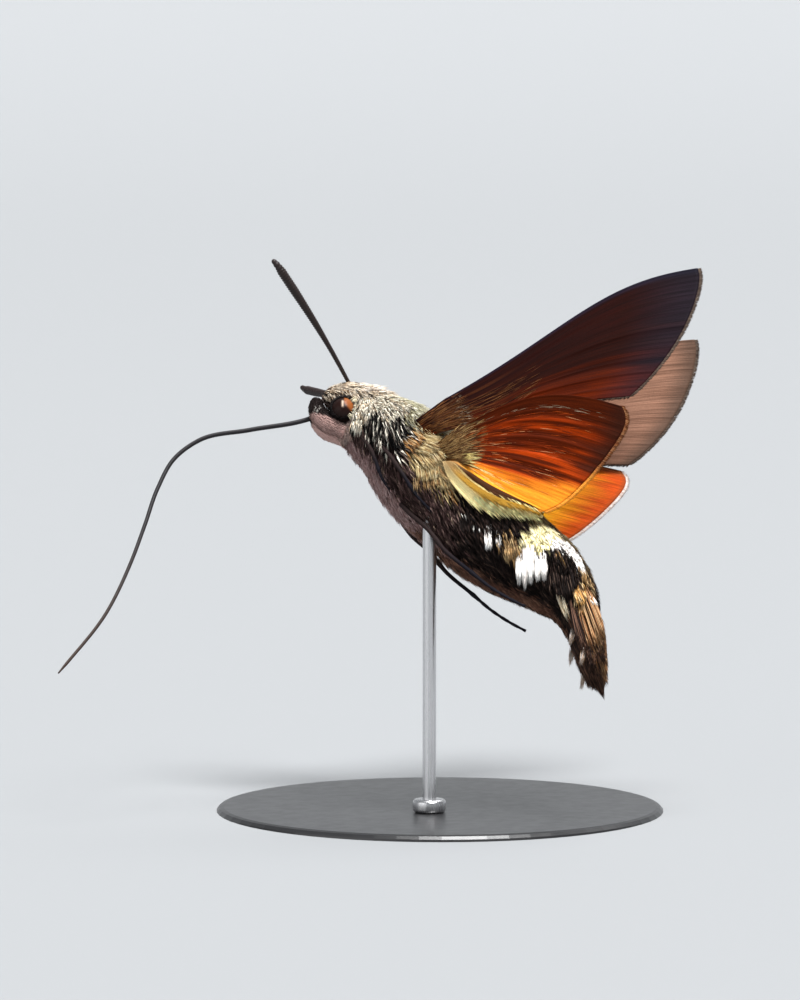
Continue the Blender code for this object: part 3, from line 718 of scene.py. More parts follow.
def make_skin():
    """One skin under the whole coat, drawn back from the brow ring by ring."""
    places = np.concatenate([np.arange(-7.95, -4.0, 0.35), np.arange(-4.0, BODY_END, 0.7), [BODY_END]])
    middles, heights, widths, depths = table(BODY, places).T
    heights = heights - depths
    widths = widths - depths
    bpy.ops.object.select_all(action="DESELECT")
    bpy.ops.mesh.primitive_circle_add(
        vertices=SKIN_SIDES, radius=1.0, fill_type="NGON", rotation=(0.0, math.pi / 2, 0.0)
    )
    item = bpy.context.object
    bpy.ops.object.transform_apply(location=False, rotation=True, scale=False)
    bpy.ops.object.mode_set(mode="EDIT")
    bpy.ops.mesh.select_all(action="SELECT")
    bpy.ops.transform.resize(value=(1.0, widths[0], heights[0]), center_override=(0.0, 0.0, 0.0))
    bpy.ops.transform.translate(value=(places[0], 0.0, middles[0]))
    for i in range(1, len(places)):
        step = (places[i] - places[i - 1], 0.0, middles[i] - middles[i - 1])
        bpy.ops.mesh.extrude_region_move(TRANSFORM_OT_translate={"value": step})
        bpy.ops.transform.resize(
            value=(1.0, widths[i] / widths[i - 1], heights[i] / heights[i - 1]),
            center_override=(places[i], 0.0, middles[i]),
        )
    bpy.ops.mesh.select_all(action="SELECT")
    bpy.ops.mesh.normals_make_consistent(inside=False)
    bpy.ops.object.mode_set(mode="OBJECT")
    soften(item, "soft_skin", 2)
    points = mesh_points(item)
    x = points[:, 0]
    middle, height, width, depth = table(BODY, x).T
    aside = np.abs(points[:, 1]) / (width - depth)
    degrees = np.degrees(np.arctan2(aside, (points[:, 2] - middle) / (height - depth)))
    # The skin is painted in its region's darkened colour, as painted shade between the locks
    paint(item, region_means()[regions_at(x, degrees, soft_waves(x, degrees, 1.0))])
    settle(item, "skin", SKIN, ("head", "thorax", "abdomen", "tail_fan"))


HAIRS_PER_LOCK = 5
BOW = 0.55
LIE_SPREAD = 0.15
LOCK_SPLAY = 0.75
COATS = (
    ("coat_head", -7.9, -4.3, 15500, "coat_olive"),
    ("coat_collar", -4.9, -1.4, 18000, "coat_olive"),
    ("coat_thorax", -1.6, 3.6, 18000, "coat_olive"),
    ("coat_waist", 3.3, 8.4, 15500, "coat_dark"),
    ("coat_abdomen", 8.1, 13.0, 17500, "coat_dark"),
    ("coat_rump", 12.7, 17.4, 13000, "coat_dark"),
)


def make_coat(name, start, end, count, slot, seed):
    """Short overlapping locks over a stretch of the body, on both sides."""
    draw = np.random.default_rng(seed)
    locks = count // HAIRS_PER_LOCK
    x = draw.uniform(start, end, 3 * locks)
    turn = draw.uniform(-180.0, 180.0, len(x))
    girth = table(BODY, x)[:, 1:3].sum(axis=1)
    keep = draw.random(len(x)) < girth / girth.max()
    x = x[keep][:locks]
    turn = turn[keep][:locks]
    degrees = np.abs(turn)
    uneven = 0.6 * soft_waves(x, degrees, 1.0) + 0.5 * draw.standard_normal(len(x))
    colours, length, width, lift, breadth = lock_values(regions_at(x, degrees, uneven), draw)
    slant = lie_of_coat(x, degrees) + draw.normal(0.0, LIE_SPREAD, len(x))
    values = (x, turn, colours, length, width, lift, breadth, slant)
    values = [np.repeat(value, HAIRS_PER_LOCK, axis=0) for value in values]
    x, turn, colours, length, width, lift, breadth, slant = values
    many = len(x)
    side = np.where(turn < 0.0, -1.0, 1.0)
    aside = draw.uniform(-0.5, 0.5, many) * breadth
    behind = draw.uniform(-0.2, 0.2, many) * length
    radius = table(BODY, x)[:, 1:3].mean(axis=1)
    x = x + behind * np.cos(slant) - aside * np.sin(slant)
    turn = turn + side * np.degrees((behind * np.sin(slant) + aside * np.cos(slant)) / radius)
    x = np.clip(x, BODY[0][0] + 0.02, BODY_END)
    slant = slant - LOCK_SPLAY * aside / length
    colours = colours * draw.uniform(0.88, 1.10, (many, 1))
    length = length * draw.uniform(0.8, 1.1, many)
    roots, out = on_body(x, turn, 0.0, under_coat=True)
    ahead = unit(on_body(x + 0.3, turn)[0] - on_body(x - 0.3, turn)[0])
    down = np.cross(out, ahead) * side[:, None]
    along = ahead * np.cos(slant)[:, None] + down * np.sin(slant)[:, None]
    depth = table(BODY, x)[:, 3]
    height = depth * lift * draw.uniform(0.35, 1.0, many)
    rise = np.clip(height / (length * (1.0 - BOW)), 0.0, 2.0)
    tips = roots + along * length[:, None] + out * height[:, None]
    clear = ~(in_eye(roots, 0.04) | in_eye(tips, 0.02) | in_eye((roots + tips) / 2.0, 0.02))
    share = (x - start + 1.0) / (end - start + 2.0)
    unwrap = np.stack([share, np.clip((turn + 190.0) / 380.0, 0.0, 0.99)], axis=1)
    hair_mesh(
        name, roots[clear], along[clear], out[clear], length[clear], width[clear], colours[clear],
        unwrap[clear], lift=rise[clear], bow=BOW, root_shade=0.72,
    )


# Long locks

# The far side's locks are shorter, because none of them shows under the belly
LOCK_REACH = {LEFT: 1.0, RIGHT: 0.6}


def comb(name, groups, seed, loose, widths, sink):
    """Long hair in soft locks on both sides. Each group: place, degrees from the back, slopes down
    and out, length, half width, region, hairs and locks. Loose is how far, in mm, hairs stray, and
    sink how far under the coat's face they start."""
    draw = np.random.default_rng(seed)
    parts = []
    for x, degrees, down_slope, out_slope, length, half_width, region, hairs, locks in groups:
        foot, out = on_body(x, degrees, -sink)
        out = out[0]
        ahead = np.array([1.0, 0.0, 0.0])
        down = np.cross(out, ahead)
        aim = unit(ahead + down * down_slope + out * out_slope)
        aside = unit(np.cross(out, aim))
        for side in (LEFT, RIGHT):
            across = draw.uniform(-1.0, 1.0, hairs)
            lock = (np.floor((across + 1.0) / 2.0 * locks) + 0.5) / locks * 2.0 - 1.0
            edge = (across - lock) * locks
            behind = draw.uniform(-0.5, 0.4, hairs)
            inward = -draw.uniform(0.0, 0.25, hairs) - (across * half_width) ** 2 / 8.0
            roots = foot[0] + aside * (across * half_width)[:, None] + aim * behind[:, None]
            roots = roots + out * inward[:, None]
            reach = LOCK_REACH[side] * length * (1.0 - 0.25 * lock**2) * (1.0 - 0.22 * edge**2)
            reach = reach * draw.uniform(0.78, 1.04, hairs)
            narrow = (0.30 * lock + 0.66 * across) * half_width
            tips = foot[0] + aside * narrow[:, None] + aim * reach[:, None]
            run = tips + draw.normal(0.0, loose, (hairs, 3)) - roots
            size = np.linalg.norm(run, axis=1)
            colours = lock_values(np.full(hairs, REGION_NAMES.index(region)), draw)[0]
            turn = side * degrees + across * 9.0
            unwrap = np.stack([(x + behind + 10.0) / 32.0, (turn + 190.0) / 380.0], axis=1)
            parts.append((
                mirrored(roots, side), mirrored(run, side), mirrored(np.tile(out, (hairs, 1)), side),
                size, draw.uniform(*widths, hairs), colours, unwrap,
            ))
    roots, along, out, reach, width, colours, unwrap = joined(parts)
    hair_mesh(
        name, roots, along, out, reach, width, colours, unwrap,
        lift=0.14, bow=1.0, stations=LONG_STATIONS, root_shade=0.8,
    )


SIDE_LOCKS = (
    (6.3, 112.0, 0.7, 0.05, 1.3, 0.5, "soot", 80, 3),
    (8.1, 108.0, 1.0, 0.08, 1.4, 0.24, "snow", 110, 2),
    (8.8, 104.0, 1.0, 0.06, 0.9, 0.15, "snow", 60, 1),
    (9.6, 103.0, 0.9, 0.07, 1.4, 0.45, "tan", 130, 4),
    (10.85, 105.0, 1.05, 0.07, 2.5, 0.60, "snow", 560, 3),
    (11.8, 97.0, 1.05, 0.08, 1.9, 0.44, "snow", 300, 2),
    (12.8, 106.0, 0.8, 0.05, 1.6, 0.6, "soot", 130, 4),
    (13.7, 99.0, 0.7, 0.06, 1.8, 0.7, "soot", 130, 4),
    (14.2, 128.0, 0.55, 0.08, 2.1, 0.28, "buff_white", 150, 2),
    (14.9, 88.0, 0.5, 0.08, 1.4, 0.4, "buff", 150, 4),
    (15.7, 58.0, 0.5, 0.08, 1.1, 0.28, "snow", 120, 2),
)
ROOT_LOCKS = (
    (-0.1, 90.0, 0.0, 0.14, 0.9, 0.6, "rust", 200, 7),
    (0.7, 82.0, -0.15, 0.24, 1.3, 0.8, "wing_root", 380, 8),
    (1.4, 88.0, 0.25, 0.16, 1.4, 0.8, "wing_root", 380, 8),
    (2.0, 97.0, 0.75, 0.08, 1.3, 0.8, "wing_root", 300, 7),
    (3.0, 86.0, 0.15, 0.18, 1.5, 0.7, "wing_root", 320, 7),
    (3.3, 93.0, 0.60, 0.07, 1.2, 0.7, "wing_root", 220, 6),
    (2.4, 108.0, 0.85, 0.05, 1.2, 0.9, "tan", 80, 7),
)


# Tail fan: place, height of the middle, half height and half width

FAN = (
    (15.8, -0.60, 1.65, 2.05),
    (16.7, -1.20, 1.25, 2.30),
    (17.8, -1.92, 0.94, 2.60),
    (19.0, -2.66, 0.67, 2.45),
    (20.0, -3.28, 0.45, 1.95),
    (20.9, -3.85, 0.16, 1.10),
)
FAN_START = FAN[0][0]
FAN_END = FAN[-1][0]
FAN_SLOPE = math.radians(32.5)
FAN_AXIS = np.array([math.cos(FAN_SLOPE), 0.0, -math.sin(FAN_SLOPE)])
FAN_ABOVE = np.array([math.sin(FAN_SLOPE), 0.0, math.cos(FAN_SLOPE)])
FAN_LENGTH = 6.1
FAN_HAIRS = 7600
FAN_LOCKS = 15
FAN_COLOURS = {
    "black": (0.030, 0.018, 0.015),
    "brown": (0.150, 0.078, 0.052),
    "rust": (0.43, 0.20, 0.085),
    "tan": (0.60, 0.37, 0.19),
    "rose": (0.86, 0.76, 0.70),
}


def make_tail_fan():
    """The fan of long flat hair: black-brown, with a rusty band at its root."""
    draw = np.random.default_rng(SEED + 20)
    count = FAN_HAIRS
    across = draw.uniform(-1.0, 1.0, count)
    level = draw.uniform(-1.0, 1.0, count)
    begin = draw.uniform(14.8, 18.8, count)
    lock = (np.floor((across + 1.0) / 2.0 * FAN_LOCKS) + 0.5) / FAN_LOCKS * 2.0 - 1.0
    middle, half, width = table(FAN, np.clip(begin, FAN_START, FAN_END)).T
    body_middle, body_height, body_width, _ = table(BODY, np.clip(begin, 14.0, BODY_END)).T
    rear = np.clip((begin - 15.2) / 1.2, 0.0, 1.0)
    middle = body_middle * (1.0 - rear) + middle * rear
    half = (body_height - 0.5) * (1.0 - rear) + half * 0.85 * rear
    width = (body_width - 0.5) * (1.0 - rear) + width * 0.8 * rear
    rounding = np.sqrt(np.maximum(0.0, 1.0 - 0.75 * across**2))
    roots = np.stack([begin, width * across, middle + half * level * rounding], axis=1)
    reach = FAN_LENGTH * draw.uniform(0.66, 1.02, count) * (1.0 - 0.27 * np.abs(lock) ** 2.2)
    reach *= 1.0 - 0.22 * np.abs(level) - 0.14 * np.maximum(level, 0.0)
    reach = np.maximum(reach, begin - FAN_START + 1.5)
    tip_x = FAN_START + reach * math.cos(FAN_SLOPE)
    _, tip_half, tip_width = table(FAN, np.clip(tip_x, FAN_START, FAN_END)).T
    fan_root = np.array([FAN_START, 0.0, FAN[0][1]])
    tips = fan_root + FAN_AXIS * reach[:, None]
    tips = tips + FAN_ABOVE * ((tip_half + 0.22) * level * 0.9)[:, None]
    tips[:, 1] += tip_width * 0.98 * (0.8 * lock + 0.2 * across)
    run = tips - roots
    length = np.linalg.norm(run, axis=1)
    out = FAN_ABOVE * np.where(level < 0.0, -1.0, 1.0)[:, None]
    out[:, 1] += 0.6 * across
    turn = np.degrees(np.arctan2(np.abs(across), level))
    shade = draw.random(count)
    patches = soft_waves(begin * 1.5, turn * 1.3, 0.4)
    banded = (begin < 17.6) & (turn > 30.0) & (turn < 112.0) & (reach < 4.9 + 0.4 * patches)
    backed = (turn <= 42.0) & (reach < 5.2)
    names = np.where(shade < 0.58, "black", "brown")
    names = np.where(banded & (shade > 0.34 - 0.25 * patches), "rust", names)
    names = np.where(banded & (shade > 0.74 - 0.25 * patches), "tan", names)
    names = np.where(backed & (shade > 0.36), "rust", names)
    names = np.where(backed & (shade > 0.76), "tan", names)
    colours = np.array([FAN_COLOURS[name] for name in names]) * draw.uniform(0.8, 1.2, (count, 1))
    around = 0.5 + 0.24 * across + 0.24 * (level > 0.0) * np.sign(across)
    unwrap = np.stack([0.02 + 0.96 * (begin - 14.0) / 5.4, around], axis=1)
    hair_mesh(
        "tail_hair", roots, run, out, length, draw.uniform(0.07, 0.12, count), colours, unwrap,
        lift=0.06, bow=1.0, stations=LONG_STATIONS, root_shade=0.8,
    )


# Short pale-tipped tufts under the fan: share of the way along it, and sideways
FAN_SIDE_TUFTS = ((0.27, 0.70), (0.55, 0.85))
TUFT_HAIRS = 80


def make_fan_tufts():
    """Small loose tufts that stand off the fan's underside, with rosy white tips."""
    draw = np.random.default_rng(SEED + 21)
    each = TUFT_HAIRS
    parts = []
    for share, sideways in FAN_SIDE_TUFTS:
        for side in (LEFT, RIGHT):
            x = FAN_START + FAN_LENGTH * share * math.cos(FAN_SLOPE)
            middle, half, width = table(FAN, x)[0]
            foot = np.array([x, side * width * sideways * 0.9, middle]) - FAN_ABOVE * half * 0.92
            aim = unit(FAN_AXIS - FAN_ABOVE * 0.52 + np.array([0.0, 0.20 * side, 0.0]))
            roots = foot + draw.normal(0.0, 0.12, (each, 3)) - aim * 0.2
            tips = foot + aim * draw.uniform(0.55, 1.0, each)[:, None]
            tips = tips + draw.normal(0.0, 0.07, (each, 3))
            pale = draw.random(each) < 0.6
            colours = np.where(pale[:, None], FAN_COLOURS["rose"], FAN_COLOURS["tan"])
            around = 0.5 + 0.4 * side * sideways + 0.01 * draw.random(each)
            unwrap = np.stack([np.full(each, share), around], axis=1)
            run = tips - roots
            reach = np.linalg.norm(run, axis=1)
            parts.append((roots, run, np.tile(-FAN_ABOVE, (each, 1)), reach, colours, unwrap))
    roots, along, out, reach, colours, unwrap = joined(parts)
    hair_mesh(
        "tail_tufts", roots, along, out, reach, 0.06, colours, unwrap,
        lift=0.05, bow=1.0, root_shade=0.5,
    )


# Wings. Each: its front and rear foot on the body, its tip and hind corner, the bows of its front,
# outer and rear edge, how far the front's bow leans to the tip, its roundness and hollow, the lobe of
# its rear edge at the root, and its veins

WING_LIFT = 0.55
ROUNDING_POWER = 6
ROOT_REACH = 0.07
ROOT_SINK = 0.9
MEMBRANE = 0.09
VEIN_HEIGHT = 0.05
RIPPLE_HEIGHT = 0.05
RIPPLES = 34.0
LOBE_LENGTH = 0.45
FOREWING = dict(
    front=(-0.9, 66.0), rear=(0.8, 64.0), tip=(5.97, 5.28, 21.78), corner=(9.02, 5.28, 11.60),
    bows=(1.35, 0.9, -0.35), lead_skew=2.0, rounding=0.02, hollow=0.35, lobe=0.75,
    veins=((0.0, 0.0), (0.05, 0.0), (0.09, 0.0), (0.20, 0.0), (0.32, 0.35), (0.44, 0.5), (0.56, 0.5),
           (0.68, 0.45), (0.80, 0.3), (0.92, 0.0)),
)
HINDWING = dict(
    front=(1.4, 76.0), rear=(3.0, 78.0), tip=(10.1, 5.9, 10.7), corner=(10.35, 3.35, 2.3),
    bows=(1.9, 0.30, 0.3), lead_skew=1.1, rounding=0.07, hollow=-0.35, lobe=0.0,
    veins=((0.0, 0.0), (0.14, 0.0), (0.23, 0.3), (0.32, 0.25), (0.40, 0.35), (0.48, 0.4), (0.56, 0.35),
           (0.64, 0.4), (0.72, 0.3), (0.80, 0.3), (0.93, 0.0)),
)

# The far hindwing is a little further into its beat
HINDWINGS = {
    LEFT: HINDWING,
    RIGHT: dict(HINDWING, tip=(9.6, 5.6, 11.3), corner=(10.2, 3.25, 2.7), bows=(1.9, 0.55, 0.3)),
}


def wing_surface(shape):
    """A function that gives points of the right wing's middle surface, and the wing's outer side."""
    front, front_out = on_body(*shape["front"], WING_LIFT)
    rear, rear_away = on_body(*shape["rear"], WING_LIFT)
    front = front[0]
    rear = rear[0]
    hinge_out = unit(front_out[0] + rear_away[0])
    tip = np.array(shape["tip"])
    corner = np.array(shape["corner"])
    normal = unit(np.cross(tip - front, corner - front))
    if normal[1] < 0.0:
        normal = -normal
    lead_bow, end_bow, rear_bow = shape["bows"]

    def outward(one, two, inside):
        side = unit(np.cross(two - one, normal))
        return side if np.dot(side, one - inside) > 0.0 else -side

    lead_out = outward(front, tip, corner)
    end_out = outward(tip, corner, front)
    rear_out = outward(rear, corner, tip)

    def point(t, s):
        t = np.asarray(t, float)[..., None]
        s = np.asarray(s, float)[..., None]
        s = s * (1.0 - shape["rounding"] * np.abs(2.0 * t - 1.0) ** ROUNDING_POWER)
        on = np.clip(s, 0.0, 1.0)
        lead = front + (tip - front) * s + lead_out * lead_bow * np.sin(np.pi * on ** shape["lead_skew"])
        lobe = shape["lobe"] * np.sin(np.pi * np.clip(on / LOBE_LENGTH, 0.0, 1.0))
        back = rear + (corner - rear) * s + rear_out * (rear_bow * np.sin(np.pi * on) + lobe)
        end = tip + (corner - tip) * t + end_out * end_bow * np.sin(np.pi * t)
        across = lead + (back - lead) * t
        foot = front + (rear - front) * t
        along = foot + (end - foot) * s
        straight_lead = front + (tip - front) * s
        straight_back = rear + (corner - rear) * s
        straight = straight_lead + (straight_back - straight_lead) * t
        hollow = shape["hollow"] * np.sin(np.pi * t) * np.sin(np.pi * np.clip(s, 0.0, 0.5))
        sink = ROOT_SINK * (1.0 - steps(s, -ROOT_REACH, 0.10))
        return across + along - straight + normal * hollow - hinge_out * sink

    return point, normal


def vein_relief(shape, t, s):
    """Height of the veins over the membrane."""
    relief = np.zeros_like(t)
    for crest, begins in shape["veins"]:
        spread = 0.010 + 0.016 * (1.0 - s)
        rise = np.clip((s - begins) / 0.12, 0.0, 1.0)
        relief = np.maximum(relief, np.exp(-(((t - crest) / spread) ** 2)) * rise * (1.0 - 0.55 * s))
    return relief


def fan_noise(t, s, across, along, seed):
    """Uneven streaks from 0 to 1 that fan out from the root: so many across, and so many lengths."""
    grid = np.random.default_rng(seed).random((across + 2, along + 2))
    a = np.clip(t, 0.0, 1.0) * across
    b = np.clip(s, 0.0, 1.0) * along
    i = a.astype(int)
    j = b.astype(int)
    u = steps(a - i, 0.0, 1.0)
    v = steps(b - j, 0.0, 1.0)
    near = grid[i, j] * (1.0 - u) + grid[i + 1, j] * u
    far = grid[i, j + 1] * (1.0 - u) + grid[i + 1, j + 1] * u
    return near * (1.0 - v) + far * v


def forewing_under(t, s):
    """Black-brown, rustier towards the rear edge, with warm glints near the root."""
    fine = fan_noise(t, s, 24, 3, 5)
    thin = fan_noise(t, s, 70, 4, 6)
    rear = steps(t + 0.2 * (fine - 0.5), 0.15, 0.45)
    colour = blend((0.0115, 0.0012, 0.0006), (0.0130, 0.0014, 0.0003), rear)
    colour = blend(colour, (0.095, 0.010, 0.0003), 0.9 * steps(t + 0.25 * (fine - 0.5), 0.58, 0.90))
    colour = blend(colour, (0.028, 0.004, 0.0008), 0.6 * steps(fine, 0.55, 0.95) * steps(t, 0.15, 0.4))
    glints = (1.0 - steps(s, 0.05, 0.40)) * steps(thin, 0.45, 0.95) * steps(t, 0.05, 0.35)
    colour = blend(colour, (0.15, 0.048, 0.014), 0.7 * glints)
    colour = blend(colour, (0.012, 0.010, 0.022), 0.8 * (1.0 - steps(t, 0.0, 0.06)))
    colour = blend(colour, (0.009, 0.010, 0.017), 0.6 * steps(s, 0.75, 1.0))
    return colour * (0.8 + 0.4 * thin)[..., None]


def forewing_over(t, s):
    """Tan-brown with a darker root, two thin black wavy lines, a dot and a darker margin."""
    fine = fan_noise(t, s, 30, 4, 15)
    colour = blend((0.26, 0.134, 0.088), (0.19, 0.095, 0.062), 0.2 + 0.6 * fine * (0.4 + 0.6 * t))
    wave = 0.018 * np.sin(9.0 * t + 0.5) + 0.012 * np.sin(23.0 * t)
    for place, slope in ((0.36, -0.05), (0.62, 0.06)):
        near = np.abs(s - place - slope * t - wave)
        colour = blend(colour, (0.020, 0.014, 0.012), 0.92 * np.exp(-((near / 0.009) ** 2)))
    band = steps(s, 0.40, 0.46) * (1.0 - steps(s, 0.56, 0.62))
    colour = blend(colour, (0.080, 0.050, 0.036), band * 0.35)
    dot = ((t - 0.30) / 0.05) ** 2 + ((s - 0.47) / 0.012) ** 2
    colour = blend(colour, (0.012, 0.010, 0.010), np.exp(-dot))
    colour = blend(colour, (0.070, 0.046, 0.034), steps(s, 0.90, 1.0) * 0.8)
    return blend(colour, (0.080, 0.052, 0.036), (1.0 - steps(s, 0.0, 0.14)) * 0.6)


def hindwing_under(t, s):
    """Red-brown with bright orange rays, golden to the rear, olive-brown at the root. The orange and
    gold are partly the wing's own colour and partly a painted glow of light shining through the wing.
    """
    broad = fan_noise(t, s, 13, 2, 7)
    fine = fan_noise(t, s, 36, 3, 8)
    rear = steps(t + 0.10 * (fine - 0.5), 0.06, 0.30)
    colour = blend((0.060, 0.0080, 0.0010), (0.070, 0.0080, 0.0008), rear)
    # Partly painted glow: the bright rays and the gold also stand for light shining through the wing
    bright = steps(0.6 * fine + 0.4 * broad, 0.38, 0.72) * steps(t, 0.12, 0.36)
    ray = blend((0.42, 0.040, 0.0010), (0.36, 0.037, 0.0020), steps(t, 0.35, 0.70))
    colour = blend(colour, ray, bright)
    gold = steps(t + 0.14 * (fine - 0.5) + 0.10 * steps(s, 0.6, 0.95), 0.76, 0.97)
    colour = blend(colour, (0.90, 0.27, 0.018), gold)
    margin = steps(s + 0.05 * (fine - 0.5), 0.84, 0.99) * (0.9 - 0.9 * steps(t, 0.45, 0.75))
    colour = blend(colour, (0.030, 0.008, 0.004), margin)
    return blend(colour, (0.085, 0.035, 0.010), 0.9 * (1.0 - steps(s + 0.14 * (fine - 0.5), 0.04, 0.26)))


def hindwing_over(t, s):
    """Golden orange, deep orange to the margin, which is a thin brown line. The orange is partly the
    wing's own colour and partly a painted glow of light shining through the wing, and the yellow patches
    are painted glow.
    """
    fine = fan_noise(t, s, 26, 2, 9)
    # Painted glow: yellow patches where light shines through the wing
    painted_glow = steps(fine, 0.1, 0.6) * (1.0 - steps(s, 0.60, 0.85))
    colour = blend((1.0, 0.36, 0.012), (1.0, 0.56, 0.022), painted_glow)
    colour = blend(colour, (0.62, 0.080, 0.008), steps(s + 0.08 * (fine - 0.5), 0.72, 0.97))
    colour = blend(colour, (0.30, 0.070, 0.020), steps(s, 0.97, 1.0) * 0.8)
    colour = blend(colour, (0.18, 0.085, 0.030), (1.0 - steps(s, 0.0, 0.20)) * 0.75)
    return blend(colour, (0.300, 0.110, 0.035), (1.0 - steps(t, 0.0, 0.08)) * 0.8)


def flat_sheet(t_count, s_count):
    """A flat grid, and each point's place across and along it, from 0 to 1."""
    bpy.ops.object.select_all(action="DESELECT")
    bpy.ops.mesh.primitive_grid_add(x_subdivisions=t_count, y_subdivisions=s_count, size=1.0)
    item = bpy.context.object
    t, s = mesh_points(item)[:, :2].T + 0.5
    return item, t, s


def thicken(item):
    """Gives a sheet the membrane's thickness."""
    thick = item.modifiers.new("membrane", "SOLIDIFY")
    thick.thickness = MEMBRANE
    thick.offset = 0.0
    apply_modifiers(item)


def make_wing(name, shape, side, under, over, t_count, s_count):
    """A thin wing with raised veins, its two faces painted apart."""
    point, normal = wing_surface(shape)
    item, t, s = flat_sheet(t_count, s_count)
    s = s * (1.0 + ROOT_REACH) - ROOT_REACH
    middle = point(t, s)
    relief = vein_relief(shape, t, np.clip(s, 0.0, 1.0)) * VEIN_HEIGHT
    ripple = RIPPLE_HEIGHT * np.sin(RIPPLES * t) * np.sin(np.pi * t) * steps(s, 0.2, 0.7)
    middle = middle + normal * (ripple * (1.0 - 0.5 * s))[:, None]
    set_points(item, mirrored(middle, side))
    thicken(item)
    count = len(t)
    points = mesh_points(item)
    sides = np.einsum("ij,j->i", points[:count] - mirrored(middle, side), mirrored(normal, side))
    first_is_outer = float(np.median(sides)) > 0.0
    colours = [under(t, s), over(t, s)]
    if not first_is_outer:
        colours.reverse()
    ways = (1.0, -1.0) if first_is_outer else (-1.0, 1.0)
    swell = mirrored(normal, side)[None, :] * relief[:, None]
    points[:count] += swell * ways[0]
    points[count:2 * count] += swell * ways[1]
    set_points(item, points)
    paint(item, np.concatenate(colours))
    node = f"{name}_{SIDE_NAMES[side]}"
    settle(item, f"{node}_scales", SCALES, (node,))


def wing_hair(name, shape, side, rows, seed):
    """Fine hair that lies along the rays. Each row: face (1 outer, -1 inner), count, ranges of t and s,
    length, width and colours."""
    draw = np.random.default_rng(seed)
    point, normal = wing_surface(shape)
    parts = []
    for face, count, t_range, s_range, length, width, palette in rows:
        t = draw.uniform(*t_range, count)
        s = draw.uniform(*s_range, count)
        roots = point(t, s)
        along = unit(point(t, s + 0.02) - roots)
        drift = unit(point(t + 0.02, s) - roots) * draw.normal(0.0, 0.07, (count, 1))
        out = np.broadcast_to(normal * face, roots.shape)
        roots = roots + out * (MEMBRANE / 2 - 0.01)
        palette = np.array(palette)
        colours = palette[draw.integers(0, len(palette), count)] * draw.uniform(0.8, 1.2, (count, 1))
        reach = length * draw.uniform(0.6, 1.2, count)
        unwrap = inside_square(t, s)
        breadth = width * draw.uniform(0.7, 1.2, count)
        parts.append((roots, along + drift, out, reach, breadth, colours, unwrap))
    roots, along, out, reach, width, colours, unwrap = joined(parts)
    hair_mesh(
        f"{name}_hair_{SIDE_NAMES[side]}", mirrored(roots, side), mirrored(along, side),
        mirrored(out, side), reach, width, colours, unwrap, lift=0.07, bow=0.8, root_shade=0.8,
    )


def wing_fringe(name, shape, side, count, length, palettes, seed):
    """A row of narrow scales along the outer margin and, in a second palette, the rear edge."""
    draw = np.random.default_rng(seed)
    point, normal = wing_surface(shape)
    share = draw.uniform(0.0, 1.45, count)
    outer = share < 1.0
    t = np.where(outer, share, 1.0)
    s = np.where(outer, 1.0, 1.0 - (share - 1.0) * 1.9)
    roots = point(t, s)
    inside = point(np.where(outer, t, 0.96), np.where(outer, 0.97, s))
    along = unit(roots - inside)
    roots = roots - along * 0.12
    sideways = unit(np.cross(np.broadcast_to(normal, along.shape), along))
    turn = sideways * draw.normal(0.0, 0.12, (count, 1))
    out = np.broadcast_to(normal, roots.shape) * np.where(draw.random(count) < 0.5, 1.0, -1.0)[:, None]
    front, rear = (np.array(palette)[draw.integers(0, len(palette), count)] for palette in palettes)
    colours = blend(front, rear, steps(t, 0.45, 0.70)) * draw.uniform(0.85, 1.15, (count, 1))
    unwrap = inside_square(t, s)
    hair_mesh(
        f"{name}_fringe_{SIDE_NAMES[side]}", mirrored(roots, side), mirrored(along + turn, side),
        mirrored(out, side), length * draw.uniform(0.85, 1.1, count), draw.uniform(0.04, 0.07, count),
        colours, unwrap, lift=0.03, bow=0.5, root_shade=0.9,
    )


GREY_HAIR = ((0.24, 0.17, 0.11), (0.16, 0.11, 0.07), (0.36, 0.29, 0.21))
DARK_HAIR = ((0.075, 0.027, 0.010), (0.12, 0.042, 0.013), (0.022, 0.009, 0.006), (0.20, 0.085, 0.028))
GLINT_HAIR = ((0.66, 0.34, 0.16), (0.50, 0.19, 0.06))
RUST_HAIR = ((0.34, 0.048, 0.004), (0.20, 0.022, 0.002), (0.075, 0.010, 0.002))
ROOT_HAIR = ((0.080, 0.034, 0.011), (0.15, 0.075, 0.025), (0.030, 0.013, 0.006), (0.30, 0.19, 0.075))
YELLOW_HAIR = ((0.86, 0.72, 0.32), (0.78, 0.60, 0.20), (0.50, 0.40, 0.14))
BROWN_HAIR = ((0.16, 0.12, 0.08), (0.30, 0.24, 0.16))
DARK_FRINGE = ((0.050, 0.034, 0.028), (0.11, 0.08, 0.06))
BROWN_FRINGE = ((0.20, 0.06, 0.020), (0.10, 0.035, 0.015), (0.34, 0.16, 0.07))
GOLD_FRINGE = ((0.80, 0.26, 0.030), (0.92, 0.38, 0.050))
PALE_FRINGE = ((0.88, 0.77, 0.71), (0.72, 0.56, 0.48), (0.92, 0.84, 0.80))
FOREWING_FRINGE = (DARK_FRINGE, DARK_FRINGE)
HINDWING_FRINGE = {LEFT: (BROWN_FRINGE, GOLD_FRINGE), RIGHT: (PALE_FRINGE, PALE_FRINGE)}
FOREWING_HAIR = (
    (1, 420, (0.0, 1.0), (-0.02, 0.09), 1.2, 0.045, DARK_HAIR),
    (1, 160, (0.35, 1.0), (0.08, 0.40), 1.3, 0.03, DARK_HAIR),
    (-1, 700, (0.0, 1.0), (-0.02, 0.20), 1.4, 0.06, BROWN_HAIR),
)
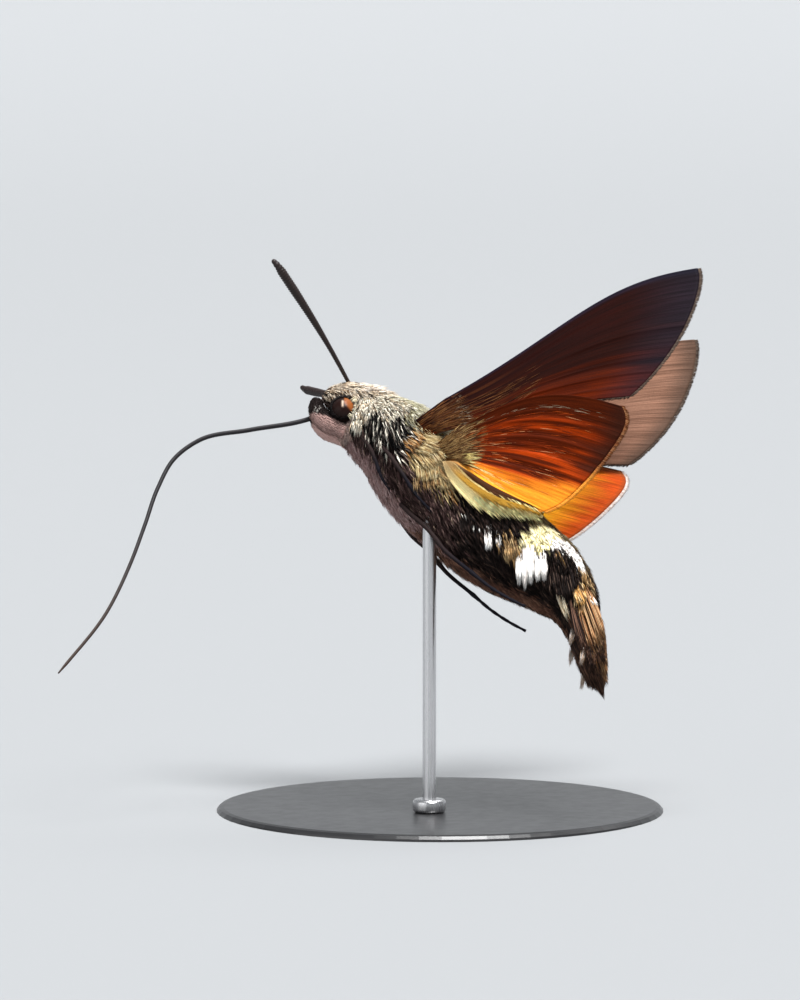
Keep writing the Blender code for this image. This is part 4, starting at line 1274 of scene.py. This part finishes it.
HINDWING_HAIR = (
    (1, 55, (0.108, 0.136), (0.06, 0.80), 0.7, 0.022, GREY_HAIR),
    (1, 30, (0.09, 0.15), (0.10, 0.85), 0.8, 0.022, GREY_HAIR),
    (1, 60, (0.18, 0.88), (0.10, 0.80), 1.3, 0.022, GLINT_HAIR),
    (1, 380, (0.15, 0.74), (0.10, 0.80), 1.5, 0.03, RUST_HAIR),
    (1, 1300, (0.0, 1.0), (-0.06, 0.06), 1.0, 0.032, ROOT_HAIR),
    (1, 420, (0.0, 0.75), (0.03, 0.22), 1.0, 0.028, ROOT_HAIR),
    (1, 60, (0.88, 1.0), (0.16, 0.50), 1.2, 0.026, YELLOW_HAIR),
    (-1, 800, (0.0, 1.0), (-0.02, 0.25), 1.6, 0.06, ROOT_HAIR),
    (-1, 400, (0.75, 1.0), (0.0, 0.6), 1.8, 0.05, YELLOW_HAIR),
)


def make_wings():
    for side in (LEFT, RIGHT):
        hindwing = HINDWINGS[side]
        make_wing("forewing", FOREWING, side, forewing_under, forewing_over, 150, 100)
        make_wing("hindwing", hindwing, side, hindwing_under, hindwing_over, 160, 80)
        wing_hair("forewing", FOREWING, side, FOREWING_HAIR, SEED + 30)
        wing_hair("hindwing", hindwing, side, HINDWING_HAIR, SEED + 31)
        wing_fringe("forewing", FOREWING, side, 1900, 0.38, FOREWING_FRINGE, SEED + 32)
        wing_fringe("hindwing", hindwing, side, 1700, 0.42, HINDWING_FRINGE[side], SEED + 33)


# Where the fold of the hindwing's inner edge lies on the abdomen: place and degrees from the back
FOLD_LINE = (
    (2.6, 86.0),
    (3.9, 95.0),
    (5.5, 97.0),
    (6.9, 92.0),
    (8.1, 80.0),
    (9.2, 62.0),
    (9.9, 50.0),
)
FOLD_HAIRS = 1700


def make_fold(side):
    """A soft pleated sheet from the hindwing's rear edge down to the abdomen, in bands of colour. Its
    dark brown band under the wing's edge is a painted shadow, and the thin cream line below that band is
    a painted highlight.
    """
    point = wing_surface(HINDWINGS[side])[0]
    item, t, s = flat_sheet(44, 80)
    upper = point(np.full_like(s, 0.985), s * 0.985)
    line = table([(i / (len(FOLD_LINE) - 1), *row) for i, row in enumerate(FOLD_LINE)], s)
    lower = on_body(line[:, 0], line[:, 1], 0.08)[0]
    middle = upper + (lower - upper) * t[:, None]
    swell = np.sin(np.pi * t) * np.sin(np.pi * s)
    pleats = 0.20 * np.sin(2.0 * math.tau * t - 0.6) * steps(s, 0.02, 0.3) * (1.0 - 0.5 * s)
    middle[:, 1] += 0.45 * swell + pleats * np.sin(np.pi * t)
    set_points(item, mirrored(middle, side))
    thicken(item)
    fine = fan_noise(t, s, 26, 4, 12)
    band = t + 0.07 * (fine - 0.5)
    # Painted shadow: a dark brown band under the wing's rear edge, widest in the middle; painted
    # highlight: a thin cream line below it
    dark = 0.11 * np.sin(np.pi * np.clip(s, 0.0, 1.0))
    colour = blend((0.90, 0.36, 0.030), (0.055, 0.020, 0.008), steps(band, 0.24 - dark, 0.28 - dark))
    colour = blend(colour, (0.96, 0.74, 0.32), steps(band, 0.25 + dark, 0.27 + dark))
    colour = blend(colour, (0.30, 0.160, 0.020), steps(band, 0.29 + dark, 0.35 + dark))
    colour = blend(colour, (1.0, 0.80, 0.38), steps(band, 0.64, 0.76))
    colour = blend(colour, (0.24, 0.15, 0.07), (1.0 - steps(s, 0.04, 0.26)) * 0.85)
    colour = colour * (0.8 + 0.3 * fine)[:, None]
    paint(item, np.concatenate([colour, colour]))
    settle(item, f"hindwing_fold_{SIDE_NAMES[side]}", SCALES)
    return middle, t, s, colour


def fold_hair(side, middle, t, s, tint):
    """Fine hair that lies along the fold, in the colours of its bands, the painted shadow and highlight
    included.
    """
    draw = np.random.default_rng(SEED + 41)
    pick = draw.integers(0, len(middle), FOLD_HAIRS)
    pick = pick[(t[pick] > 0.3) & (s[pick] < 0.9)]
    count = len(pick)
    roots = middle[pick]
    share = t[pick]
    place = s[pick]
    out = np.tile(np.array([0.10, 1.0, 0.1]), (count, 1))
    roots = roots + out * 0.05
    rise = 0.10 - 0.16 * share + draw.normal(0.0, 0.05, count)
    along = np.stack([np.full(count, 1.0), np.full(count, -0.10), rise], axis=1)
    colours = np.clip(tint[pick] * draw.uniform(0.9, 1.5, (count, 1)), 0.0, 0.92)
    length = (1.3 - 0.6 * place) * draw.uniform(0.6, 1.2, count)
    unwrap = inside_square(share, place)
    hair_mesh(
        f"fold_hair_{SIDE_NAMES[side]}", mirrored(roots, side), mirrored(along, side),
        mirrored(out, side), length, draw.uniform(0.04, 0.06, count), colours, unwrap,
        lift=0.06, bow=0.9, root_shade=0.85,
    )


# Head


EYE_DARK = (0.012, 0.005, 0.004)
EYE_RUST = (0.205, 0.062, 0.016)
EYE_HIGHLIGHT = (0.66, 0.50, 0.38)


def make_eyes():
    """Dark glossy eyes, with a rusty brown arc behind and above and a thin pale streak that is a painted
    highlight.
    """
    for side in (LEFT, RIGHT):
        centre = mirrored(EYE_CENTRE, side)
        bpy.ops.object.select_all(action="DESELECT")
        bpy.ops.mesh.primitive_uv_sphere_add(
            segments=64, ring_count=40, radius=EYE_RADIUS, location=tuple(centre)
        )
        item = bpy.context.object
        bpy.ops.object.transform_apply(location=True, rotation=False, scale=False)
        points = mesh_points(item) - centre
        back = points @ np.array([0.72, -0.03 * side, 0.70]) / EYE_RADIUS
        up = points @ np.array([-0.62, 0.42 * side, 0.66]) / EYE_RADIUS
        rust = steps(0.72 * back + 0.62 * up, 0.30, 0.50) * steps(back, -0.02, 0.10)
        colours = blend(EYE_DARK, EYE_RUST, rust)
        # Painted highlight: a thin pale streak high on the eye
        streak = np.exp(-(((back + 0.08) / 0.07) ** 2)) * steps(up, 0.22, 0.36)
        streak = streak * (1.0 - steps(up, 0.70, 0.85))
        paint(item, blend(colours, EYE_HIGHLIGHT, 0.8 * streak))
        settle(item, f"eyeball_{SIDE_NAMES[side]}", EYE, (f"eye_{SIDE_NAMES[side]}",))


RIM_HAIRS = 700


def make_eye_rims():
    """Short fur round each eye: black before and below it, cream above and behind."""
    draw = np.random.default_rng(SEED + 45)
    count = RIM_HAIRS
    for side in (LEFT, RIGHT):
        axis = unit(np.array([-0.15, side, -0.05]))
        back = unit(np.array([1.0, 0.0, 0.0]) - axis * axis[0])
        up = np.cross(axis, back) * -side
        turn = draw.uniform(0.0, math.tau, count)
        spoke = back * np.cos(turn)[:, None] + up * np.sin(turn)[:, None]
        lean = draw.uniform(0.30, 0.62, count)[:, None]
        ring = axis * lean + spoke * np.sqrt(1.0 - lean**2) * 1.01
        roots = mirrored(EYE_CENTRE, side) + EYE_RADIUS * ring
        along = unit(spoke * 0.75 + axis * 0.35 + back * 0.45 + draw.normal(0.0, 0.12, (count, 3)))
        pale = (np.cos(turn) > -0.05) & (np.sin(turn) > -0.30) & (draw.random(count) < 0.72)
        colours = np.where(pale[:, None], (0.80, 0.72, 0.52), (0.016, 0.013, 0.013))
        colours = colours * draw.uniform(0.75, 1.1, (count, 1))
        length = np.where(pale, 0.50, 0.26) * draw.uniform(0.7, 1.25, count)
        unwrap = np.stack([turn / math.tau * 0.96 + 0.02, 0.3 + 0.4 * draw.random(count)], axis=1)
        hair_mesh(
            f"eye_fur_{SIDE_NAMES[side]}", roots - along * 0.08, along, spoke, length, 0.045, colours,
            unwrap, lift=0.10, bow=0.7, root_shade=0.7,
        )


# Palp: place, height and radius
PALP = (
    (-4.6, -1.75, 0.50),
    (-5.4, -1.95, 0.55),
    (-6.2, -2.13, 0.64),
    (-7.0, -2.04, 0.65),
    (-7.5, -1.70, 0.56),
    (-7.66, -1.38, 0.36),
)
PALP_SIDE = 0.64
PALP_FLATNESS = 1.36
PALP_RINGS = 24
PALP_SCALES = 4200


def make_palps():
    """Smooth scaly palps that curl up before the face, with short scales lying on them."""
    for side in (LEFT, RIGHT):
        path = spline([(x, 0.0, z) for x, z, _ in PALP], PALP_RINGS)
        radii = spline([(3.0 * i, 0.0, row[2]) for i, row in enumerate(PALP)], PALP_RINGS)[:, 2]
        item = tube(path, radii, 24)
        points = mesh_points(item) * (1.0, PALP_FLATNESS, 1.0) + (0.0, PALP_SIDE, 0.0)
        set_points(item, mirrored(points, side))
        soften(item, "soft_palp", 1)
        points = mesh_points(item)
        paint(item, palp_colours(points))
        normals = np.zeros(len(points) * 3)
        item.data.vertices.foreach_get("normal", normals)
        palp_scales(side, points, normals.reshape(-1, 3), path)
        settle(item, f"palp_{SIDE_NAMES[side]}_skin", FACE, (f"palp_{SIDE_NAMES[side]}",))


def palp_colours(points):
    """Pinkish grey, greyer under the eye, with a black mask at the front that has thin white streaks."""
    rose = np.array((0.49, 0.315, 0.282))
    grey = np.array((0.42, 0.355, 0.325))
    share = steps(points[:, 2], -1.9, -1.1) * steps(points[:, 0], -7.6, -6.6)
    colours = blend(rose, grey, share)
    rise = 0.66 * points[:, 2] - 0.62 * points[:, 0]
    ahead = -0.72 * points[:, 0] - 0.70 * points[:, 2]
    mask = steps(rise + 0.30 * (points[:, 0] + 7.4), 2.74, 2.86)
    colours = blend(colours, (0.020, 0.014, 0.013), mask)
    place = ahead + 0.5 * rise
    streak = np.exp(-(((place - 7.82) / 0.03) ** 2)) + np.exp(-(((place - 8.10) / 0.025) ** 2))
    return blend(colours, (0.70, 0.66, 0.60), mask * streak * (1.0 - steps(rise, 3.0, 3.15)))


def palp_scales(side, points, normals, path):
    """Short scales that lie along a palp."""
    draw = np.random.default_rng(SEED + 50)
    count = PALP_SCALES
    pick = draw.integers(0, len(points), count)
    roots = points[pick] + draw.normal(0.0, 0.02, (count, 3))
    out = normals[pick]
    nearest = ((roots[:, None, (0, 2)] - path[None, :, (0, 2)]) ** 2).sum(axis=2).argmin(axis=1)
    nearest = np.clip(nearest, 1, len(path) - 2)
    along = unit(path[nearest + 1] - path[nearest - 1]) + draw.normal(0.0, 0.12, (count, 3))
    along = along - out * (along * out).sum(axis=1, keepdims=True)
    roots = roots - out * 0.03
    keep = ~in_eye(roots, 0.04) & ~in_eye(roots + along * 0.3, 0.03)
    colours = palp_colours(roots) * draw.uniform(0.85, 1.18, (count, 1))
    unwrap = np.stack([nearest / len(path), draw.uniform(0.02, 0.98, count)], axis=1)
    hair_mesh(
        f"palp_scales_{SIDE_NAMES[side]}", roots[keep], along[keep], out[keep],
        draw.uniform(0.12, 0.22, count)[keep], draw.uniform(0.03, 0.05, count)[keep],
        colours[keep], unwrap[keep], lift=0.12, bow=0.8, root_shade=0.85,
    )


ANTENNA_ROOT = (-7.3, 0.85, 1.0)
ANTENNA_REACH = {LEFT: (-6.25, 8.5, 0.2), RIGHT: (-5.6, 8.7, 0.8)}
ANTENNA_BOW = 0.5
ANTENNA_RADII = ((0.0, 0.13), (0.35, 0.17), (0.8, 0.30), (0.93, 0.30), (0.985, 0.20), (1.0, 0.12))
ANTENNA_RINGS = 62
RING_RADII = np.array([0.84, 1.0, 1.04, 1.0])


def make_antennae():
    """Feelers of many short rings, thicker to a club before a fine hooked tip, with pale nicks."""
    count = ANTENNA_RINGS * len(RING_RADII) + 1
    t = np.linspace(0.0, 1.0, count)
    radii = np.interp(t, *zip(*ANTENNA_RADII)) * RING_RADII[np.arange(count) % len(RING_RADII)]
    for side in (LEFT, RIGHT):
        reach = mirrored(ANTENNA_REACH[side], side)
        root = mirrored(ANTENNA_ROOT, side) - unit(reach) * 0.35
        path = root + (reach + unit(reach) * 0.35) * t[:, None]
        path[:, 0] += ANTENNA_BOW * np.sin(np.pi * t)
        path[:, 0] -= 0.22 * steps(t, 0.96, 1.0)
        item = tube(path, radii, 16)
        points = mesh_points(item)
        share = places_along(item, path)
        ring = (share * ANTENNA_RINGS) % 1.0
        centre = path[np.clip((share * (count - 1)).round().astype(int), 0, count - 1)]
        facing = unit(points - centre) @ unit(np.array([0.30, -0.8 * side, -0.40]))
        nick = steps(facing, 0.15, 0.7) * (np.abs(ring - 0.5) < 0.36) * (1.0 - steps(share, 0.80, 0.92))
        paint(item, blend((0.020, 0.012, 0.011), (0.50, 0.40, 0.34), 0.75 * nick))
        settle(item, f"feeler_{SIDE_NAMES[side]}", HORN, (f"antenna_{SIDE_NAMES[side]}",))


# Tongue: place and height
PROBOSCIS = (
    (-6.95, -1.62), (-7.50, -2.76), (-9.72, -5.86), (-11.64, -8.68), (-11.91, -10.76), (-11.17, -13.10),
    (-9.87, -15.60), (-8.52, -18.33), (-7.14, -21.99), (-6.52, -26.01), (-6.40, -27.00),
)
TONGUE_RADII = ((0.0, 0.19), (0.05, 0.16), (0.5, 0.135), (0.97, 0.10), (1.0, 0.05))
TONGUE_FLATNESS = 1.15


def make_tongue():
    """The long tongue, a little wider than high and thinner to its tip."""
    path = spline([(x, 0.0, z) for x, z in PROBOSCIS], 260)
    t = np.linspace(0.0, 1.0, len(path))
    item = tube(path, np.interp(t, *zip(*TONGUE_RADII)), 16)
    set_points(item, mesh_points(item) * (1.0, TONGUE_FLATNESS, 1.0))
    share = places_along(item, path)
    paint(item, blend((0.012, 0.010, 0.012), (0.050, 0.030, 0.024), steps(share, 0.5, 1.0)))
    settle(item, "tongue", HORN, ("proboscis_root", "proboscis_knee", "proboscis_tip"))


# Legs: place along the body, degrees from the belly's middle, and height over the coat

FORELEG = (
    (-3.2, 44.0, -0.3), (-2.2, 44.0, -0.05), (-1.2, 41.0, 0.0), (-0.2, 34.0, -0.05), (0.9, 27.0, -0.35),
)
MIDLEG = (
    (-1.5, 56.0, -0.3), (-0.4, 59.0, 0.0), (1.0, 58.0, 0.05), (2.8, 51.0, -0.05), (4.3, 46.0, -0.35),
)
HINDLEG = (
    (2.0, 27.0, -0.3), (3.0, 29.0, -0.05), (4.6, 29.0, 0.0), (6.5, 27.0, 0.20),
    (8.8, 26.0, 0.45), (10.6, 26.0, 0.90), (12.0, 27.0, 1.20), (13.2, 29.0, 1.30),
)
LEGS = {"foreleg": (FORELEG, 0.13), "midleg": (MIDLEG, 0.13), "hindleg": (HINDLEG, 0.15)}
LEG_TAPER = ((0.0, 1.1), (0.3, 1.0), (0.62, 0.85), (1.0, 0.70))
FOOT_START = 0.62
FOOT_RINGS = 14.0


def make_legs():
    """Thin folded legs with swollen joints and ringed feet."""
    for name, (rows, radius) in LEGS.items():
        place, turn, height = np.array(rows).T
        for side in (LEFT, RIGHT):
            path = spline(on_body(place, 180.0 - turn, height)[0], 90)
            t = np.linspace(0.0, 1.0, len(path))
            taper = np.interp(t, *zip(*LEG_TAPER))
            foot = 0.12 * (np.abs((t * FOOT_RINGS) % 1.0 - 0.5) < 0.2) * (t > FOOT_START)
            knee = 0.25 * np.exp(-(((t - 0.33) / 0.03) ** 2))
            knee = knee + 0.25 * np.exp(-(((t - FOOT_START) / 0.02) ** 2))
            item = tube(mirrored(path, side), radius * (taper + knee - foot), 12)
            share = places_along(item, mirrored(path, side))
            paint(item, blend((0.026, 0.017, 0.016), (0.010, 0.009, 0.013), steps(share, 0.3, 0.6)))
            node = f"{name}_{SIDE_NAMES[side]}"
            settle(item, f"{node}_horn", LEG_HORN, (node,))


# Stand

ROD_RADIUS = 0.45 * MM
ROD_REACH = 2.4 * MM
COLLAR_RADIUS = 1.1 * MM
COLLAR_HEIGHT = 0.9 * MM
COLLAR_ROUNDING = 0.25 * MM


def make_stand():
    """The rod from a turned collar on the base up into the belly's fur; the base is the CAD's own."""
    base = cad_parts["stand_base"]
    base.data.materials.clear()
    base.data.materials.append(BASE)
    low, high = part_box("stand_rod")
    base_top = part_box("stand_base")[1].z
    x, y = ((low + high) / 2).xy
    top = high.z + ROD_REACH
    bpy.ops.object.select_all(action="DESELECT")
    bpy.ops.mesh.primitive_cylinder_add(
        vertices=48, radius=ROD_RADIUS, depth=top - base_top, location=(x, y, (top + base_top) / 2)
    )
    rod = bpy.context.object
    bpy.ops.object.transform_apply(location=True, rotation=False, scale=False)
    collar = turned_collar(Vector((x, y, base_top)))
    alone(rod)
    collar.select_set(True)
    bpy.ops.object.join()
    rod.name = "rod_and_collar"
    rod.data.materials.clear()
    rod.data.materials.append(ROD)
    rod.data.shade_smooth()
    rod.data.set_sharp_from_angle(angle=math.radians(35))
    finish_piece(rod, ("stand_rod",))


def turned_collar(foot):
    """A low ring round the rod's foot, with rounded edges."""
    middle = foot + Vector((0.0, 0.0, COLLAR_HEIGHT / 2))
    bpy.ops.object.select_all(action="DESELECT")
    bpy.ops.mesh.primitive_cylinder_add(
        vertices=64, radius=COLLAR_RADIUS, depth=COLLAR_HEIGHT, location=middle
    )
    collar = bpy.context.object
    bpy.ops.object.transform_apply(location=True, rotation=False, scale=False)
    bevel = collar.modifiers.new("soft_edge", "BEVEL")
    bevel.width = COLLAR_ROUNDING
    bevel.segments = 4
    apply_modifiers(collar)
    return collar


# Floor, lights and camera

FLOOR_COLOUR = (0.235, 0.243, 0.251)
SKY_COLOUR = (0.86, 0.90, 0.95, 1.0)
SKY_STRENGTH = 0.32

# Lamps: place that each shines from, softness in degrees, and strength
LAMPS = {
    "key": ((0.13, -0.23, 0.40), 20.0, 4.8),
    "top": ((0.05, -0.03, 0.40), 20.0, 3.5),
    "fill": ((-0.34, -0.26, 0.06), 60.0, 0.9),
    "rim": ((0.14, 0.26, 0.30), 40.0, 1.3),
}
CAMERA_TARGET = Vector((-2.67, 0.0, 23.46)) * MM
CAMERA_DISTANCE = 0.32
CAMERA_RISE = math.radians(4.0)
CAMERA_LENS = 172.8


def make_floor():
    """A pale floor that curves up behind."""
    bpy.ops.object.select_all(action="DESELECT")
    bpy.ops.mesh.primitive_plane_add(size=1.0)
    floor = bpy.context.object
    floor.name = "floor"
    bpy.ops.object.mode_set(mode="EDIT")
    bpy.ops.mesh.select_all(action="SELECT")
    bpy.ops.transform.resize(value=(8.0, 3.0, 1.0), center_override=(0.0, 0.0, 0.0))
    bpy.ops.mesh.select_all(action="DESELECT")
    bpy.ops.object.mode_set(mode="OBJECT")
    for edge in floor.data.edges:
        edge.select = all(floor.data.vertices[i].co.y > 1.0 for i in edge.vertices)
    bpy.ops.object.mode_set(mode="EDIT")
    bpy.ops.mesh.select_mode(type="EDGE")
    bpy.ops.mesh.extrude_edges_move(TRANSFORM_OT_translate={"value": (0.0, 0.6, 0.12)})
    bpy.ops.mesh.extrude_edges_move(TRANSFORM_OT_translate={"value": (0.0, 0.3, 0.5)})
    bpy.ops.mesh.extrude_edges_move(TRANSFORM_OT_translate={"value": (0.0, 0.05, 2.5)})
    bpy.ops.object.mode_set(mode="OBJECT")
    soften(floor, "sweep", 4)
    floor.data.shade_smooth()
    floor.data.materials.append(new_material("pale_floor", 0.75, FLOOR_COLOUR)[0])


def make_lights():
    """Even light from the sky, and soft lamps."""
    world = bpy.data.worlds.new("studio")
    bpy.context.scene.world = world
    world.use_nodes = True
    sky = world.node_tree.nodes["Background"]
    sky.inputs["Color"].default_value = SKY_COLOUR
    sky.inputs["Strength"].default_value = SKY_STRENGTH
    for name, (place, softness, strength) in LAMPS.items():
        data = bpy.data.lights.new(name, "SUN")
        data.angle = math.radians(softness)
        data.energy = strength
        lamp = bpy.data.objects.new(name, data)
        lamp.location = place
        lamp.rotation_euler = Vector(place).to_track_quat("Z", "Y").to_euler()
        bpy.context.scene.collection.objects.link(lamp)


def make_camera():
    """The camera, at the photograph's angle."""
    data = bpy.data.cameras.new("camera")
    data.lens = CAMERA_LENS
    data.sensor_width = 36.0
    data.clip_start = 0.01
    data.dof.use_dof = False
    camera = bpy.data.objects.new("camera", data)
    back = Vector((0.0, -math.cos(CAMERA_RISE), math.sin(CAMERA_RISE)))
    camera.location = CAMERA_TARGET + back * CAMERA_DISTANCE
    camera.rotation_euler = (math.pi / 2 - CAMERA_RISE, 0.0, 0.0)
    bpy.context.scene.collection.objects.link(camera)
    bpy.context.scene.camera = camera


make_camera()
make_floor()
make_lights()
make_stand()
make_skin()
for index, coat in enumerate(COATS):
    make_coat(*coat, SEED + index)
comb("side_locks", SIDE_LOCKS, SEED + 10, loose=0.05, widths=(0.05, 0.08), sink=0.3)
comb("wing_root_locks", ROOT_LOCKS, SEED + 11, loose=0.10, widths=(0.03, 0.045), sink=0.2)
make_tail_fan()
make_fan_tufts()
make_wings()
for wing_side in (LEFT, RIGHT):
    fold_hair(wing_side, *make_fold(wing_side))
make_eyes()
make_eye_rims()
make_palps()
make_antennae()
make_tongue()
make_legs()
bpy.context.scene.view_settings.view_transform = "Standard"
